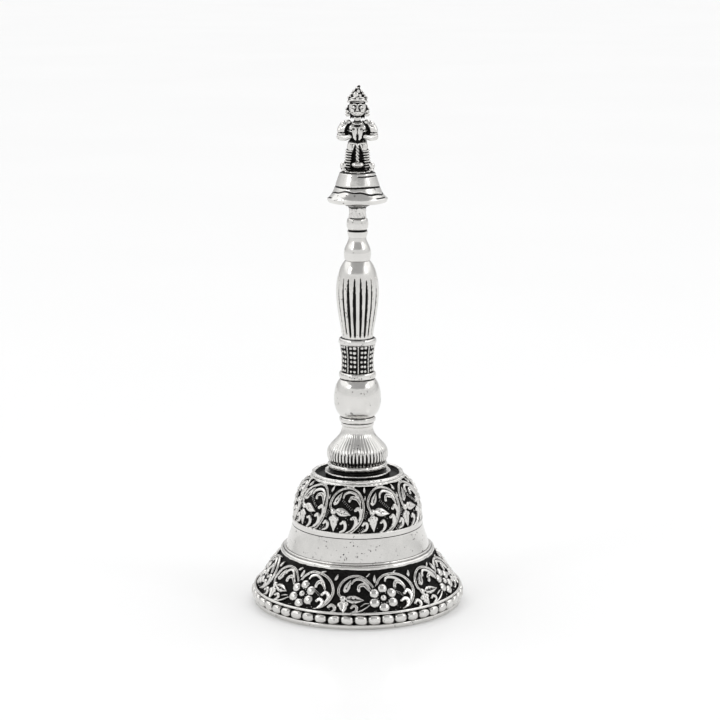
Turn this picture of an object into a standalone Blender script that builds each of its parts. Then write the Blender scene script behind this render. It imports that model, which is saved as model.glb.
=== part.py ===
"""Hand bell for prayer: a flared cup, a turned handle on a tie rod, a praying figure and a hanging clapper.

Metres, +Z up. The origin is the centre of the mouth, on the plane that the lip stands on, so the bell's axis
is the Z axis. The figure looks towards -Y. The handle is a stack of bored sections on one rod, which is
clamped by a flanged nut inside the crown. The clapper hangs on an eye whose head turns in that nut.
"""

import math

import bmesh
import bpy
from mathutils import Matrix, Vector

# Clearances
FACE_GAP = 0.00003  # between two flat faces that seat on each other
RING_GAP = 0.00006  # between a ring and the cove it lies in
BEAD_GAP = 0.00015  # between the beaded wire and its seat
BORE_CLEARANCE = 0.00025  # between the rod and the bores that it passes through
SWIVEL_CLEARANCE = 0.00015  # between the eye's shank or head and the nut
LINK_GAP = 0.00015  # between the two loops that hang in each other

# Bell cup, from the lip up
MOUTH_RADIUS = 0.0333
LIP_HEIGHT = 0.0015
LIP_WIDTH = 0.0028
BEAD_RADIUS = 0.0015
BEAD_NECK = 0.0008
BEAD_COUNT = 49
RIM_WIRE_RADIUS = 0.00042
RIM_WIRE_INSET = 0.0002
SKIRT_HEIGHT = 0.0119
WAIST_RADIUS = 0.0239
WAIST_RING_RADIUS = 0.0011
BAND_HEIGHT = 0.00863
SHOULDER_RADIUS = 0.0209
DOME_HEIGHT = 0.0158
CROWN_RADIUS = 0.0141
CROWN_RING_RADIUS = 0.00075
WALL = 0.0019

# Crown plates under the handle
DISC_RADIUS = 0.0105
DISC_HEIGHT = 0.0014
SEAT_RADIUS = 0.0095
SEAT_HEIGHT = 0.0026
SEAT_GROOVE = 0.0006

# Handle sections, from the foot up
FOOT_HEIGHT = 0.0130
FOOT_RADIUS = 0.0097
FOOT_BASE_RADIUS = 0.0089
FOOT_NECK_RADIUS = 0.0049
BASE_RING_HEIGHT = 0.0017
BASE_RING_RADIUS = 0.0058
BULB_HEIGHT = 0.0123
BULB_RADIUS = 0.00745
BULB_END_RADIUS = 0.0055
LOWER_COLLAR_HEIGHT = 0.0021
LOWER_COLLAR_RADIUS = 0.0059
SLEEVE_HEIGHT = 0.0089
SLEEVE_TOP_RADIUS = 0.0057
SLEEVE_BASE_RADIUS = 0.0053
UPPER_COLLAR_HEIGHT = 0.0019
UPPER_COLLAR_RADIUS = 0.0060
BALUSTER_HEIGHT = 0.0246
BALUSTER_RADIUS = 0.00675
BALUSTER_FOOT_RADIUS = 0.0049
BALUSTER_TOP_RADIUS = 0.0039
PEAR_HEIGHT = 0.0072
PEAR_RADIUS = 0.00426
PEAR_TOP_RADIUS = 0.0028
KNOP_HEIGHT = 0.0063
KNOP_RADIUS = 0.0034
NECK_HEIGHT = 0.0031
NECK_RADIUS = 0.0027
DISH_HEIGHT = 0.0016
DISH_RADIUS = 0.0045
PLINTH_HEIGHT = 0.0093
PLINTH_RIM_RADIUS = 0.0094
PLINTH_WAIST_RADIUS = 0.0070
PLINTH_TOP_RADIUS = 0.0057

# Tie rod and crown nut
ROD_RADIUS = 0.0013
ROD_ENTRY = 0.0050  # depth of the rod in the plinth
NUT_BOSS_RADIUS = 0.0032
NUT_FLANGE_RADIUS = 0.0052
NUT_FLANGE_HEIGHT = 0.0018
NUT_FLOOR = 0.0011

# Hanger eye
EYE_HEAD_RADIUS = 0.00135
EYE_HEAD_HEIGHT = 0.0008
EYE_SHANK_RADIUS = 0.0008
EYE_LOOP_RADIUS = 0.0023
EYE_WIRE_RADIUS = 0.0008
EYE_DROP = 0.0003  # from the nut to the top of the eye

# Clapper
CLAPPER_LOOP_RADIUS = 0.0021
CLAPPER_WIRE_RADIUS = 0.0007
CLAPPER_ROD_RADIUS = 0.0009
BALL_RADIUS = 0.0055
BALL_LIFT = 0.0026  # from the plane of the lip to the bottom of the ball
TIP_RADIUS = 0.0018
TIP_HEIGHT = 0.0013
TIP_ENTRY = 0.0007  # depth of the rod in the tip

# Figure
FIGURE_HEIGHT = 0.0272
FIGURE_HALF_WIDTH = 0.0064
FIGURE_HALF_DEPTH = 0.0034
PEG_RADIUS = 0.0014
PEG_LENGTH = 0.0020

# Fineness of the meshes
CUP_STEPS = 44
SECTION_STEPS = 24
SMALL_STEPS = 18
RING_SIDES = 6

SILVER = (0.86, 0.85, 0.83)
DARK_SILVER = (0.42, 0.41, 0.40)
STEEL = (0.60, 0.60, 0.61)


def arc(centre, radius, start, end, count):
    """Points on a circle in the (radius, height) plane, from one angle in degrees to another."""
    points = []
    for i in range(count + 1):
        angle = math.radians(start + (end - start) * i / count)
        points.append((centre[0] + radius * math.cos(angle), centre[1] + radius * math.sin(angle)))
    return points


def cove(centre, radius, start, end, count):
    """Points round a circle whose chords stay outside it, for a hollow that a round wire lies in."""
    half_step = math.radians(abs(end - start) / count / 2)
    return arc(centre, radius / math.cos(half_step), start, end, count)


def sweep(start, pull_start, pull_end, end, count):
    """Points on a cubic Bezier curve, both ends included."""
    points = []
    for i in range(count + 1):
        t = i / count
        u = 1 - t
        weights = (u * u * u, 3 * u * u * t, 3 * u * t * t, t * t * t)
        corners = (start, pull_start, pull_end, end)
        points.append(tuple(sum(w * c[axis] for w, c in zip(weights, corners)) for axis in (0, 1)))
    return points


def inset(points, distance):
    """The line moved to its inner side by the distance, for a line that runs down the outer side."""
    moved = []
    for i, (radius, height) in enumerate(points):
        before = points[max(i - 1, 0)]
        after = points[min(i + 1, len(points) - 1)]
        along = Vector((after[0] - before[0], after[1] - before[1])).normalized()
        moved.append((radius + along.y * distance, height - along.x * distance))
    return moved


def lathe(name, profile, steps, axial=False):
    """A turned solid. The profile runs down the outer side; it is a closed loop, or ends on the axis."""
    mesh = bpy.data.meshes.new(name)
    edges = [(i, i + 1) for i in range(len(profile) - 1)]
    if not axial:
        edges.append((len(profile) - 1, 0))
    mesh.from_pydata([(radius, 0, height) for radius, height in profile], edges, [])
    solid = bpy.data.objects.new(name, mesh)
    bell.objects.link(solid)
    screw = solid.modifiers.new("Turn", "SCREW")
    screw.steps = steps
    screw.render_steps = steps
    screw.use_merge_vertices = True
    screw.merge_threshold = 1e-6
    return solid


def bored(name, outer, bore, steps=SECTION_STEPS):
    """A turned section with a straight bore. The outer line runs from its top face to its bottom face."""
    top = outer[0][1]
    bottom = outer[-1][1]
    return lathe(name, outer + [(bore, bottom), (bore, top)], steps)


def ring(name, radius, height, wire, steps=CUP_STEPS):
    """A round wire bent into a level ring."""
    return lathe(name, arc((radius, height), wire, 90, -270 + 360 / RING_SIDES, RING_SIDES - 1), steps)


def baked(solid):
    """The object with its modifiers applied."""
    graph = bpy.context.evaluated_depsgraph_get()
    solid.data = bpy.data.meshes.new_from_object(solid.evaluated_get(graph))
    solid.modifiers.clear()
    return solid


def primitive(name, build, matrix):
    """A mesh object made by one bmesh operator and placed by the matrix, with the placing applied."""
    shape = bmesh.new()
    build(shape)
    bmesh.ops.transform(shape, matrix=matrix, verts=shape.verts)
    mesh = bpy.data.meshes.new(name)
    shape.to_mesh(mesh)
    shape.free()
    solid = bpy.data.objects.new(name, mesh)
    bell.objects.link(solid)
    return solid


def ball(name, centre, radii, segments=12):
    """An ellipsoid."""
    matrix = Matrix.Translation(centre) @ Matrix.Diagonal((*radii, 1))
    rings = max(6, segments * 2 // 3)
    return primitive(
        name, lambda b: bmesh.ops.create_uvsphere(b, u_segments=segments, v_segments=rings, radius=1), matrix
    )


def limb(name, start, end, start_radius, end_radius, segments=12):
    """A tapered round bar between two points."""
    start = Vector(start)
    along = Vector(end) - start
    turn = along.to_track_quat("Z", "Y").to_matrix().to_4x4()
    matrix = Matrix.Translation(start + along / 2) @ turn

    def build(shape):
        bmesh.ops.create_cone(
            shape, cap_ends=True, segments=segments, radius1=start_radius, radius2=end_radius, depth=along.length
        )

    return primitive(name, build, matrix)


def loop(name, centre, radius, wire, turn):
    """A round wire bent into an upright ring, turned about the Z axis by the angle in degrees."""
    bpy.ops.mesh.primitive_torus_add(
        major_radius=radius, minor_radius=wire, major_segments=24, minor_segments=10,
        location=centre, rotation=(math.radians(90), 0, math.radians(turn)),
    )
    solid = bpy.context.active_object
    solid.name = name
    for collection in list(solid.users_collection):
        collection.objects.unlink(solid)
    bell.objects.link(solid)
    return solid


def set_aside(solid):
    """Moves a helper solid to the cutters' collection."""
    bell.objects.unlink(solid)
    cutters.objects.link(solid)
    solid.hide_render = True
    solid.display_type = "WIRE"


def joined(base, others):
    """The base with the other solids joined to it, as one body."""
    for other in others:
        set_aside(other)
        union = base.modifiers.new("Join " + other.name, "BOOLEAN")
        union.operation = "UNION"
        union.object = other
    return base


def cut(base, cutter):
    """The base with the cutter's shape taken out of it."""
    set_aside(cutter)
    difference = base.modifiers.new("Cut " + cutter.name, "BOOLEAN")
    difference.operation = "DIFFERENCE"
    difference.object = cutter
    return base


def finish(solid, colour, roughness=0.25):
    """Gives the solid its own material and smooth shading."""
    material = bpy.data.materials.new(solid.name)
    material.use_nodes = True
    shader = material.node_tree.nodes["Principled BSDF"]
    shader.inputs["Base Color"].default_value = (*colour, 1)
    shader.inputs["Metallic"].default_value = 1
    shader.inputs["Roughness"].default_value = roughness
    solid.data.materials.clear()
    solid.data.materials.append(material)
    if solid.data.polygons:
        solid.data.shade_smooth()
        solid.data.set_sharp_from_angle(angle=math.radians(35))
    for modifier in solid.modifiers:
        if modifier.type == "SCREW":
            modifier.use_smooth_shade = True


# Heights of the cup's parts
BEAD_Z = LIP_HEIGHT + BEAD_GAP + BEAD_RADIUS
BEAD_ROW_RADIUS = MOUTH_RADIUS + 0.0009 - BEAD_RADIUS
RIM_WIRE_ROW_RADIUS = MOUTH_RADIUS - RIM_WIRE_INSET
RIM_WIRE_Z = BEAD_Z + math.sqrt(
    (BEAD_RADIUS + RIM_WIRE_RADIUS + RING_GAP) ** 2 - (RIM_WIRE_ROW_RADIUS - BEAD_ROW_RADIUS) ** 2
)
WAIST_Z = RIM_WIRE_Z + SKIRT_HEIGHT
SHOULDER_Z = WAIST_Z + BAND_HEIGHT
CROWN_Z = SHOULDER_Z + DOME_HEIGHT
CROWN_UNDERSIDE = CROWN_Z - WALL
SECTION_BORE = ROD_RADIUS + BORE_CLEARANCE
CROWN_BORE = NUT_BOSS_RADIUS + BORE_CLEARANCE
NUT_BOTTOM = CROWN_UNDERSIDE - FACE_GAP - NUT_FLANGE_HEIGHT
EYE_HEAD_BASE = NUT_BOTTOM + NUT_FLOOR + SWIVEL_CLEARANCE
EYE_HEAD_TOP = EYE_HEAD_BASE + EYE_HEAD_HEIGHT


def cup_line():
    """The cup's smooth outer line, from the crown ring down to the rim wire, without its coves."""
    dome = sweep(
        (CROWN_RADIUS, CROWN_Z),
        (CROWN_RADIUS + 0.57 * (SHOULDER_RADIUS - CROWN_RADIUS), CROWN_Z - 0.14 * DOME_HEIGHT),
        (SHOULDER_RADIUS, CROWN_Z - 0.29 * DOME_HEIGHT),
        (SHOULDER_RADIUS, SHOULDER_Z),
        6,
    )
    belly = WAIST_RADIUS - 0.3 * WAIST_RING_RADIUS
    band = sweep(
        (SHOULDER_RADIUS, SHOULDER_Z),
        (SHOULDER_RADIUS + 0.2 * (belly - SHOULDER_RADIUS), SHOULDER_Z - 0.33 * BAND_HEIGHT),
        (belly - 0.35 * (belly - SHOULDER_RADIUS), WAIST_Z + 0.33 * BAND_HEIGHT),
        (belly, WAIST_Z),
        4,
    )
    foot = RIM_WIRE_ROW_RADIUS - RIM_WIRE_RADIUS / 2
    skirt = sweep(
        (belly, WAIST_Z),
        (belly + 0.38 * (foot - belly), WAIST_Z - 0.12 * SKIRT_HEIGHT),
        (foot - 0.25 * (foot - belly), RIM_WIRE_Z + 0.32 * SKIRT_HEIGHT),
        (foot, RIM_WIRE_Z),
        5,
    )
    return dome, band, skirt


def clear_of(points, centre, radius):
    """The points that lie outside a circle."""
    return [p for p in points if math.dist(p, centre) > radius]


def leaves_at(centre, radius, point):
    """The angle, in degrees, where a line that runs down to the point leaves the left side of a circle."""
    towards = math.degrees(math.atan2(point[1] - centre[1], point[0] - centre[0])) % 360
    return towards - math.degrees(math.acos(radius / math.dist(point, centre)))


def make_cup():
    """The cast cup, with a cove for each of its three rings and a seat for the beaded wire."""
    dome, band, skirt = cup_line()
    crown = (CROWN_RADIUS, CROWN_Z + CROWN_RING_RADIUS / 2)
    waist = (WAIST_RADIUS, WAIST_Z)
    rim = (RIM_WIRE_ROW_RADIUS, RIM_WIRE_Z)
    bead = (BEAD_ROW_RADIUS, BEAD_Z)
    outer = [(CROWN_BORE, CROWN_Z)]
    outer += cove(crown, CROWN_RING_RADIUS + RING_GAP, 210, 320, 3)
    outer += clear_of(dome[1:] + band[1:], waist, WAIST_RING_RADIUS + 2 * RING_GAP)
    below = clear_of(skirt[1:], waist, WAIST_RING_RADIUS + 2 * RING_GAP)[:-1]
    hollow = WAIST_RING_RADIUS + RING_GAP
    outer += cove(waist, hollow, 140, leaves_at(waist, hollow, below[0]), 4)
    outer += below
    outer += cove(rim, RIM_WIRE_RADIUS + RING_GAP, 130, 180, 2)
    outer += cove(bead, BEAD_RADIUS + BEAD_GAP, 105, 210, 3)
    outer += [(outer[-1][0], LIP_HEIGHT), (MOUTH_RADIUS - LIP_HEIGHT / 4, LIP_HEIGHT)]
    outer += [(MOUTH_RADIUS, LIP_HEIGHT / 2), (MOUTH_RADIUS - LIP_HEIGHT / 4, 0)]
    lining = inset(dome[2:] + band[1:] + skirt[1:-1], WALL)
    throat = MOUTH_RADIUS - LIP_WIDTH
    inner = [(throat, 0)]
    inner += [p for p in reversed(lining) if p[1] < CROWN_UNDERSIDE and p[0] < throat]
    inner += [(inner[-1][0] - WALL / 2, CROWN_UNDERSIDE), (CROWN_BORE, CROWN_UNDERSIDE)]
    finish(lathe("bell_cup", outer + inner, CUP_STEPS), SILVER)
    finish(ring("crown_ring", *crown, CROWN_RING_RADIUS), SILVER)
    finish(ring("waist_ring", *waist, WAIST_RING_RADIUS), SILVER)
    finish(ring("rim_wire", *rim, RIM_WIRE_RADIUS), SILVER)


def make_bead_rim():
    """A round wire that swells into a bead at equal steps round the mouth."""
    stations = ((0, BEAD_RADIUS), (0.5, BEAD_NECK))
    path = bpy.data.curves.new("bead_rim", "CURVE")
    path.dimensions = "3D"
    path.bevel_depth = 1
    path.bevel_resolution = 2
    spline = path.splines.new("POLY")
    spline.points.add(BEAD_COUNT * len(stations) - 1)
    spline.use_cyclic_u = True
    places = [(bead + share, radius) for bead in range(BEAD_COUNT) for share, radius in stations]
    for point, (place, radius) in zip(spline.points, places):
        angle = 2 * math.pi * place / BEAD_COUNT
        point.co = (BEAD_ROW_RADIUS * math.cos(angle), BEAD_ROW_RADIUS * math.sin(angle), BEAD_Z, 1)
        point.radius = radius
    wire = bpy.data.objects.new("bead_rim", path)
    bell.objects.link(wire)
    finish_curve(wire)


def finish_curve(wire):
    """Turns a cyclic curve into a mesh object of the same name, and finishes it."""
    graph = bpy.context.evaluated_depsgraph_get()
    mesh = bpy.data.meshes.new_from_object(wire.evaluated_get(graph))
    name = wire.name
    bpy.data.objects.remove(wire)
    solid = bpy.data.objects.new(name, mesh)
    bell.objects.link(solid)
    finish(solid, SILVER)


def make_crown_plates():
    """The stepped disc and the grooved seat that the handle stands on. Returns the seat's top."""
    base = CROWN_Z + FACE_GAP
    top = base + DISC_HEIGHT
    shoulder = DISC_HEIGHT / 3
    disc = [(DISC_RADIUS - shoulder, top), (DISC_RADIUS, top - shoulder), (DISC_RADIUS, base)]
    finish(bored("crown_disc", disc, SECTION_BORE), DARK_SILVER, 0.45)
    base = top + FACE_GAP
    top = base + SEAT_HEIGHT
    bead = SEAT_HEIGHT / 4
    seat = [(SEAT_RADIUS - bead, top)]
    seat += arc((SEAT_RADIUS - bead, top - bead), bead, 90, -90, 5)[1:]
    seat += [(SEAT_RADIUS - bead - SEAT_GROOVE, top - 2 * bead - SEAT_GROOVE / 2)]
    seat += [(SEAT_RADIUS - SEAT_GROOVE, base + SEAT_GROOVE), (SEAT_RADIUS - SEAT_GROOVE, base)]
    finish(bored("handle_seat", seat, SECTION_BORE), SILVER)
    return top


def foot_line(base, top):
    """The foot: a concave neck that swells to a round hip and turns in to its base."""
    hip = base + 0.22 * FOOT_HEIGHT
    neck = top - 0.1 * FOOT_HEIGHT
    line = [(FOOT_NECK_RADIUS + 0.0003, top)]
    line += sweep(
        (FOOT_NECK_RADIUS, neck),
        (FOOT_NECK_RADIUS, neck - 0.34 * FOOT_HEIGHT),
        (FOOT_RADIUS, hip + 0.27 * FOOT_HEIGHT),
        (FOOT_RADIUS, hip),
        7,
    )
    line += sweep(
        (FOOT_RADIUS, hip),
        (FOOT_RADIUS, hip - 0.1 * FOOT_HEIGHT),
        (FOOT_BASE_RADIUS + 0.0003, base + 0.05 * FOOT_HEIGHT),
        (FOOT_BASE_RADIUS, base),
        3,
    )[1:]
    return line


def roll_line(radius):
    """A collar whose side is rounded. Returns the function that draws it between two heights."""

    def line(base, top):
        half = (top - base) / 2
        swell = half * 0.6
        side = [(radius - swell + swell * math.cos(a), base + half + half * math.sin(a)) for a in HALF_TURN]
        return side

    return line


HALF_TURN = [math.pi / 2 - math.pi * i / 6 for i in range(7)]


def bulb_line(base, top):
    """The round bulb, widest just under its middle."""
    middle = base + 0.47 * BULB_HEIGHT
    upper = sweep(
        (BULB_END_RADIUS, top),
        (BULB_END_RADIUS + 0.62 * (BULB_RADIUS - BULB_END_RADIUS), top - 0.1 * BULB_HEIGHT),
        (BULB_RADIUS, middle + 0.28 * BULB_HEIGHT),
        (BULB_RADIUS, middle),
        5,
    )
    lower = sweep(
        (BULB_RADIUS, middle),
        (BULB_RADIUS, middle - 0.24 * BULB_HEIGHT),
        (BULB_END_RADIUS + 0.55 * (BULB_RADIUS - BULB_END_RADIUS), base + 0.1 * BULB_HEIGHT),
        (BULB_END_RADIUS, base),
        5,
    )
    return upper + lower[1:]


def sleeve_line(base, top):
    """The sleeve, which widens towards its top and a little towards its base."""
    waist = SLEEVE_BASE_RADIUS - 0.0001
    return [
        (SLEEVE_TOP_RADIUS, top), (waist + 0.0002, top - 0.2 * SLEEVE_HEIGHT), (waist, base + 0.45 * SLEEVE_HEIGHT),
        (SLEEVE_BASE_RADIUS, base),
    ]


def baluster_line(base, top):
    """The long baluster, widest above its middle."""
    widest = base + 0.6 * BALUSTER_HEIGHT
    upper = sweep(
        (BALUSTER_TOP_RADIUS, top),
        (BALUSTER_TOP_RADIUS + 0.55 * (BALUSTER_RADIUS - BALUSTER_TOP_RADIUS), top - 0.07 * BALUSTER_HEIGHT),
        (BALUSTER_RADIUS, widest + 0.2 * BALUSTER_HEIGHT),
        (BALUSTER_RADIUS, widest),
        6,
    )
    lower = sweep(
        (BALUSTER_RADIUS, widest),
        (BALUSTER_RADIUS, widest - 0.22 * BALUSTER_HEIGHT),
        (BALUSTER_FOOT_RADIUS, base + 0.1 * BALUSTER_HEIGHT),
        (BALUSTER_FOOT_RADIUS, base),
        5,
    )
    return upper + lower[1:]


def pear_line(base, top):
    """The pear-shaped bulb: a narrow top over a round belly."""
    belly = base + 0.32 * PEAR_HEIGHT
    upper = sweep(
        (PEAR_TOP_RADIUS, top),
        (PEAR_TOP_RADIUS + 0.2 * (PEAR_RADIUS - PEAR_TOP_RADIUS), top - 0.3 * PEAR_HEIGHT),
        (PEAR_RADIUS, belly + 0.3 * PEAR_HEIGHT),
        (PEAR_RADIUS, belly),
        5,
    )
    return upper + [(0.985 * PEAR_RADIUS, base + 0.15 * PEAR_HEIGHT), (0.93 * PEAR_RADIUS, base)]


def knop_line(base, top):
    """The small knop: a ball over a cup, with a groove between them."""
    groove = base + 0.36 * KNOP_HEIGHT
    depth = 0.0004
    upper = (top + groove) / 2
    half = (top - groove) / 2
    line = [(NECK_RADIUS, top)]
    line += [
        (NECK_RADIUS + (KNOP_RADIUS - NECK_RADIUS) * math.cos(a), upper + half * math.sin(a)) for a in HALF_TURN[1:-1]
    ]
    line += [(KNOP_RADIUS - depth, groove + depth / 2), (KNOP_RADIUS - depth, groove - depth / 2)]
    line += [(0.95 * KNOP_RADIUS, groove - depth), (PEAR_TOP_RADIUS, base)]
    return line


def neck_line(base, top):
    """The straight neck."""
    return [(NECK_RADIUS, top), (NECK_RADIUS, base)]


def dish_line(base, top):
    """The stepped dish that carries the plinth."""
    middle = (top + base) / 2
    return [
        (DISH_RADIUS, top), (DISH_RADIUS, middle), ((DISH_RADIUS + NECK_RADIUS) / 2, middle - DISH_HEIGHT / 6),
        (NECK_RADIUS, base),
    ]


def make_section(name, line, base, height, steps=SECTION_STEPS):
    """One bored section of the handle. Returns the height that the next one stands at."""
    top = base + height
    finish(bored(name, line(base, top), SECTION_BORE, steps), SILVER)
    return top + FACE_GAP


def make_handle(base):
    """The sections on the rod, from the foot to the dish. Returns the height that the plinth stands at."""
    sections = (
        ("fluted_foot", foot_line, FOOT_HEIGHT),
        ("bulb_base_ring", roll_line(BASE_RING_RADIUS), BASE_RING_HEIGHT),
        ("round_bulb", bulb_line, BULB_HEIGHT),
        ("lower_collar", roll_line(LOWER_COLLAR_RADIUS), LOWER_COLLAR_HEIGHT),
        ("lattice_sleeve", sleeve_line, SLEEVE_HEIGHT),
        ("upper_collar", roll_line(UPPER_COLLAR_RADIUS), UPPER_COLLAR_HEIGHT),
        ("fluted_baluster", baluster_line, BALUSTER_HEIGHT),
        ("pear_bulb", pear_line, PEAR_HEIGHT),
        ("grooved_knop", knop_line, KNOP_HEIGHT),
        ("neck_sleeve", neck_line, NECK_HEIGHT),
        ("plinth_dish", dish_line, DISH_HEIGHT),
    )
    for name, line, height in sections:
        base = make_section(name, line, base, height)
    return base


def make_plinth(base):
    """The bell-shaped plinth, with a blind bore for the rod below and one for the figure's peg above."""
    top = base + PLINTH_HEIGHT
    rim = base + 0.14 * PLINTH_HEIGHT
    waist = base + 0.56 * PLINTH_HEIGHT
    peg = PEG_RADIUS + BORE_CLEARANCE
    peg_floor = top - PEG_LENGTH - BORE_CLEARANCE
    rod_end = base + ROD_ENTRY + BORE_CLEARANCE
    profile = [(0, peg_floor), (peg, peg_floor), (peg, top), (PLINTH_TOP_RADIUS, top)]
    profile += [(PLINTH_WAIST_RADIUS, waist)]
    profile += sweep(
        (PLINTH_WAIST_RADIUS, waist),
        (PLINTH_WAIST_RADIUS + 0.25 * (PLINTH_RIM_RADIUS - PLINTH_WAIST_RADIUS), rim + 0.2 * PLINTH_HEIGHT),
        (PLINTH_RIM_RADIUS - 0.4 * (PLINTH_RIM_RADIUS - PLINTH_WAIST_RADIUS), rim + 0.08 * PLINTH_HEIGHT),
        (PLINTH_RIM_RADIUS, rim),
        4,
    )[1:]
    profile += [(PLINTH_RIM_RADIUS - 0.0006, base), (SECTION_BORE, base), (SECTION_BORE, rod_end), (0, rod_end)]
    finish(lathe("figure_plinth", profile, SECTION_STEPS, axial=True), SILVER)
    return top


def make_rod(plinth_base):
    """The rod that holds the stack together, from just above the eye's head to the plinth."""
    bottom = EYE_HEAD_TOP + SWIVEL_CLEARANCE
    top = plinth_base + ROD_ENTRY
    profile = [(0, top), (ROD_RADIUS, top), (ROD_RADIUS, bottom), (0, bottom)]
    finish(lathe("tie_rod", profile, SMALL_STEPS, axial=True), STEEL, 0.4)


def make_nut():
    """The flanged hexagon nut under the crown, bored for the rod, the eye's head and the eye's shank."""
    middle = Vector((0, 0, NUT_BOTTOM + NUT_FLANGE_HEIGHT / 2))
    half = Vector((0, 0, NUT_FLANGE_HEIGHT / 2))
    boss_top = CROWN_Z - 2 * FACE_GAP
    flange = limb("crown_nut", middle - half, middle + half, NUT_FLANGE_RADIUS, NUT_FLANGE_RADIUS, 6)
    boss = limb("nut_boss", middle, (0, 0, boss_top), NUT_BOSS_RADIUS, NUT_BOSS_RADIUS, SMALL_STEPS)
    floor = NUT_BOTTOM + NUT_FLOOR
    wide = max(ROD_RADIUS, EYE_HEAD_RADIUS) + SWIVEL_CLEARANCE
    narrow = EYE_SHANK_RADIUS + SWIVEL_CLEARANCE
    bore = [(0, boss_top + WALL), (wide, boss_top + WALL), (wide, floor), (narrow, floor)]
    bore += [(narrow, NUT_BOTTOM - WALL), (0, NUT_BOTTOM - WALL)]
    cutter = baked(lathe("nut_bore", bore, SMALL_STEPS, axial=True))
    finish(cut(joined(flange, [boss]), cutter), STEEL, 0.4)


def make_eye():
    """The eye that the clapper hangs on, whose head turns on the nut's floor. Returns the pivot's height."""
    centre = NUT_BOTTOM - EYE_DROP - EYE_WIRE_RADIUS - EYE_LOOP_RADIUS
    shank_end = centre + EYE_LOOP_RADIUS
    shank = [(0, EYE_HEAD_TOP), (EYE_HEAD_RADIUS, EYE_HEAD_TOP), (EYE_HEAD_RADIUS, EYE_HEAD_BASE)]
    shank += [(EYE_SHANK_RADIUS, EYE_HEAD_BASE), (EYE_SHANK_RADIUS, shank_end), (0, shank_end)]
    eye = baked(lathe("hanger_eye", shank, SMALL_STEPS, axial=True))
    joined(eye, [loop("eye_loop", (0, 0, centre), EYE_LOOP_RADIUS, EYE_WIRE_RADIUS, 90)])
    finish(eye, STEEL, 0.35)
    return centre - EYE_LOOP_RADIUS + EYE_WIRE_RADIUS + LINK_GAP + CLAPPER_WIRE_RADIUS


def make_clapper(pivot):
    """The clapper: a looped rod, a bored ball and the tip nut under it."""
    ball_z = BALL_LIFT + BALL_RADIUS
    tip_top = BALL_LIFT - FACE_GAP
    rod_end = tip_top - TIP_ENTRY
    centre = pivot - CLAPPER_LOOP_RADIUS
    bore = CLAPPER_ROD_RADIUS + BORE_CLEARANCE
    rod = limb(
        "clapper_rod", (0, 0, rod_end), (0, 0, centre - CLAPPER_LOOP_RADIUS), CLAPPER_ROD_RADIUS,
        CLAPPER_ROD_RADIUS, segments=SMALL_STEPS,
    )
    joined(rod, [loop("clapper_loop", (0, 0, centre), CLAPPER_LOOP_RADIUS, CLAPPER_WIRE_RADIUS, 0)])
    finish(rod, STEEL, 0.35)
    start = math.degrees(math.acos(bore / BALL_RADIUS))
    outer = arc((0, ball_z), BALL_RADIUS, start, -start, 14)
    finish(bored("clapper_ball", outer, bore, SECTION_STEPS), SILVER, 0.3)
    tip_base = tip_top - TIP_HEIGHT
    hole_floor = rod_end - BORE_CLEARANCE
    tip = [(0, hole_floor), (bore, hole_floor), (bore, tip_top), (TIP_RADIUS, tip_top)]
    tip += [(TIP_RADIUS, tip_top - TIP_HEIGHT / 2), (TIP_RADIUS * 0.6, tip_base), (0, tip_base)]
    finish(lathe("clapper_tip", tip, SMALL_STEPS, axial=True), STEEL, 0.35)


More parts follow.
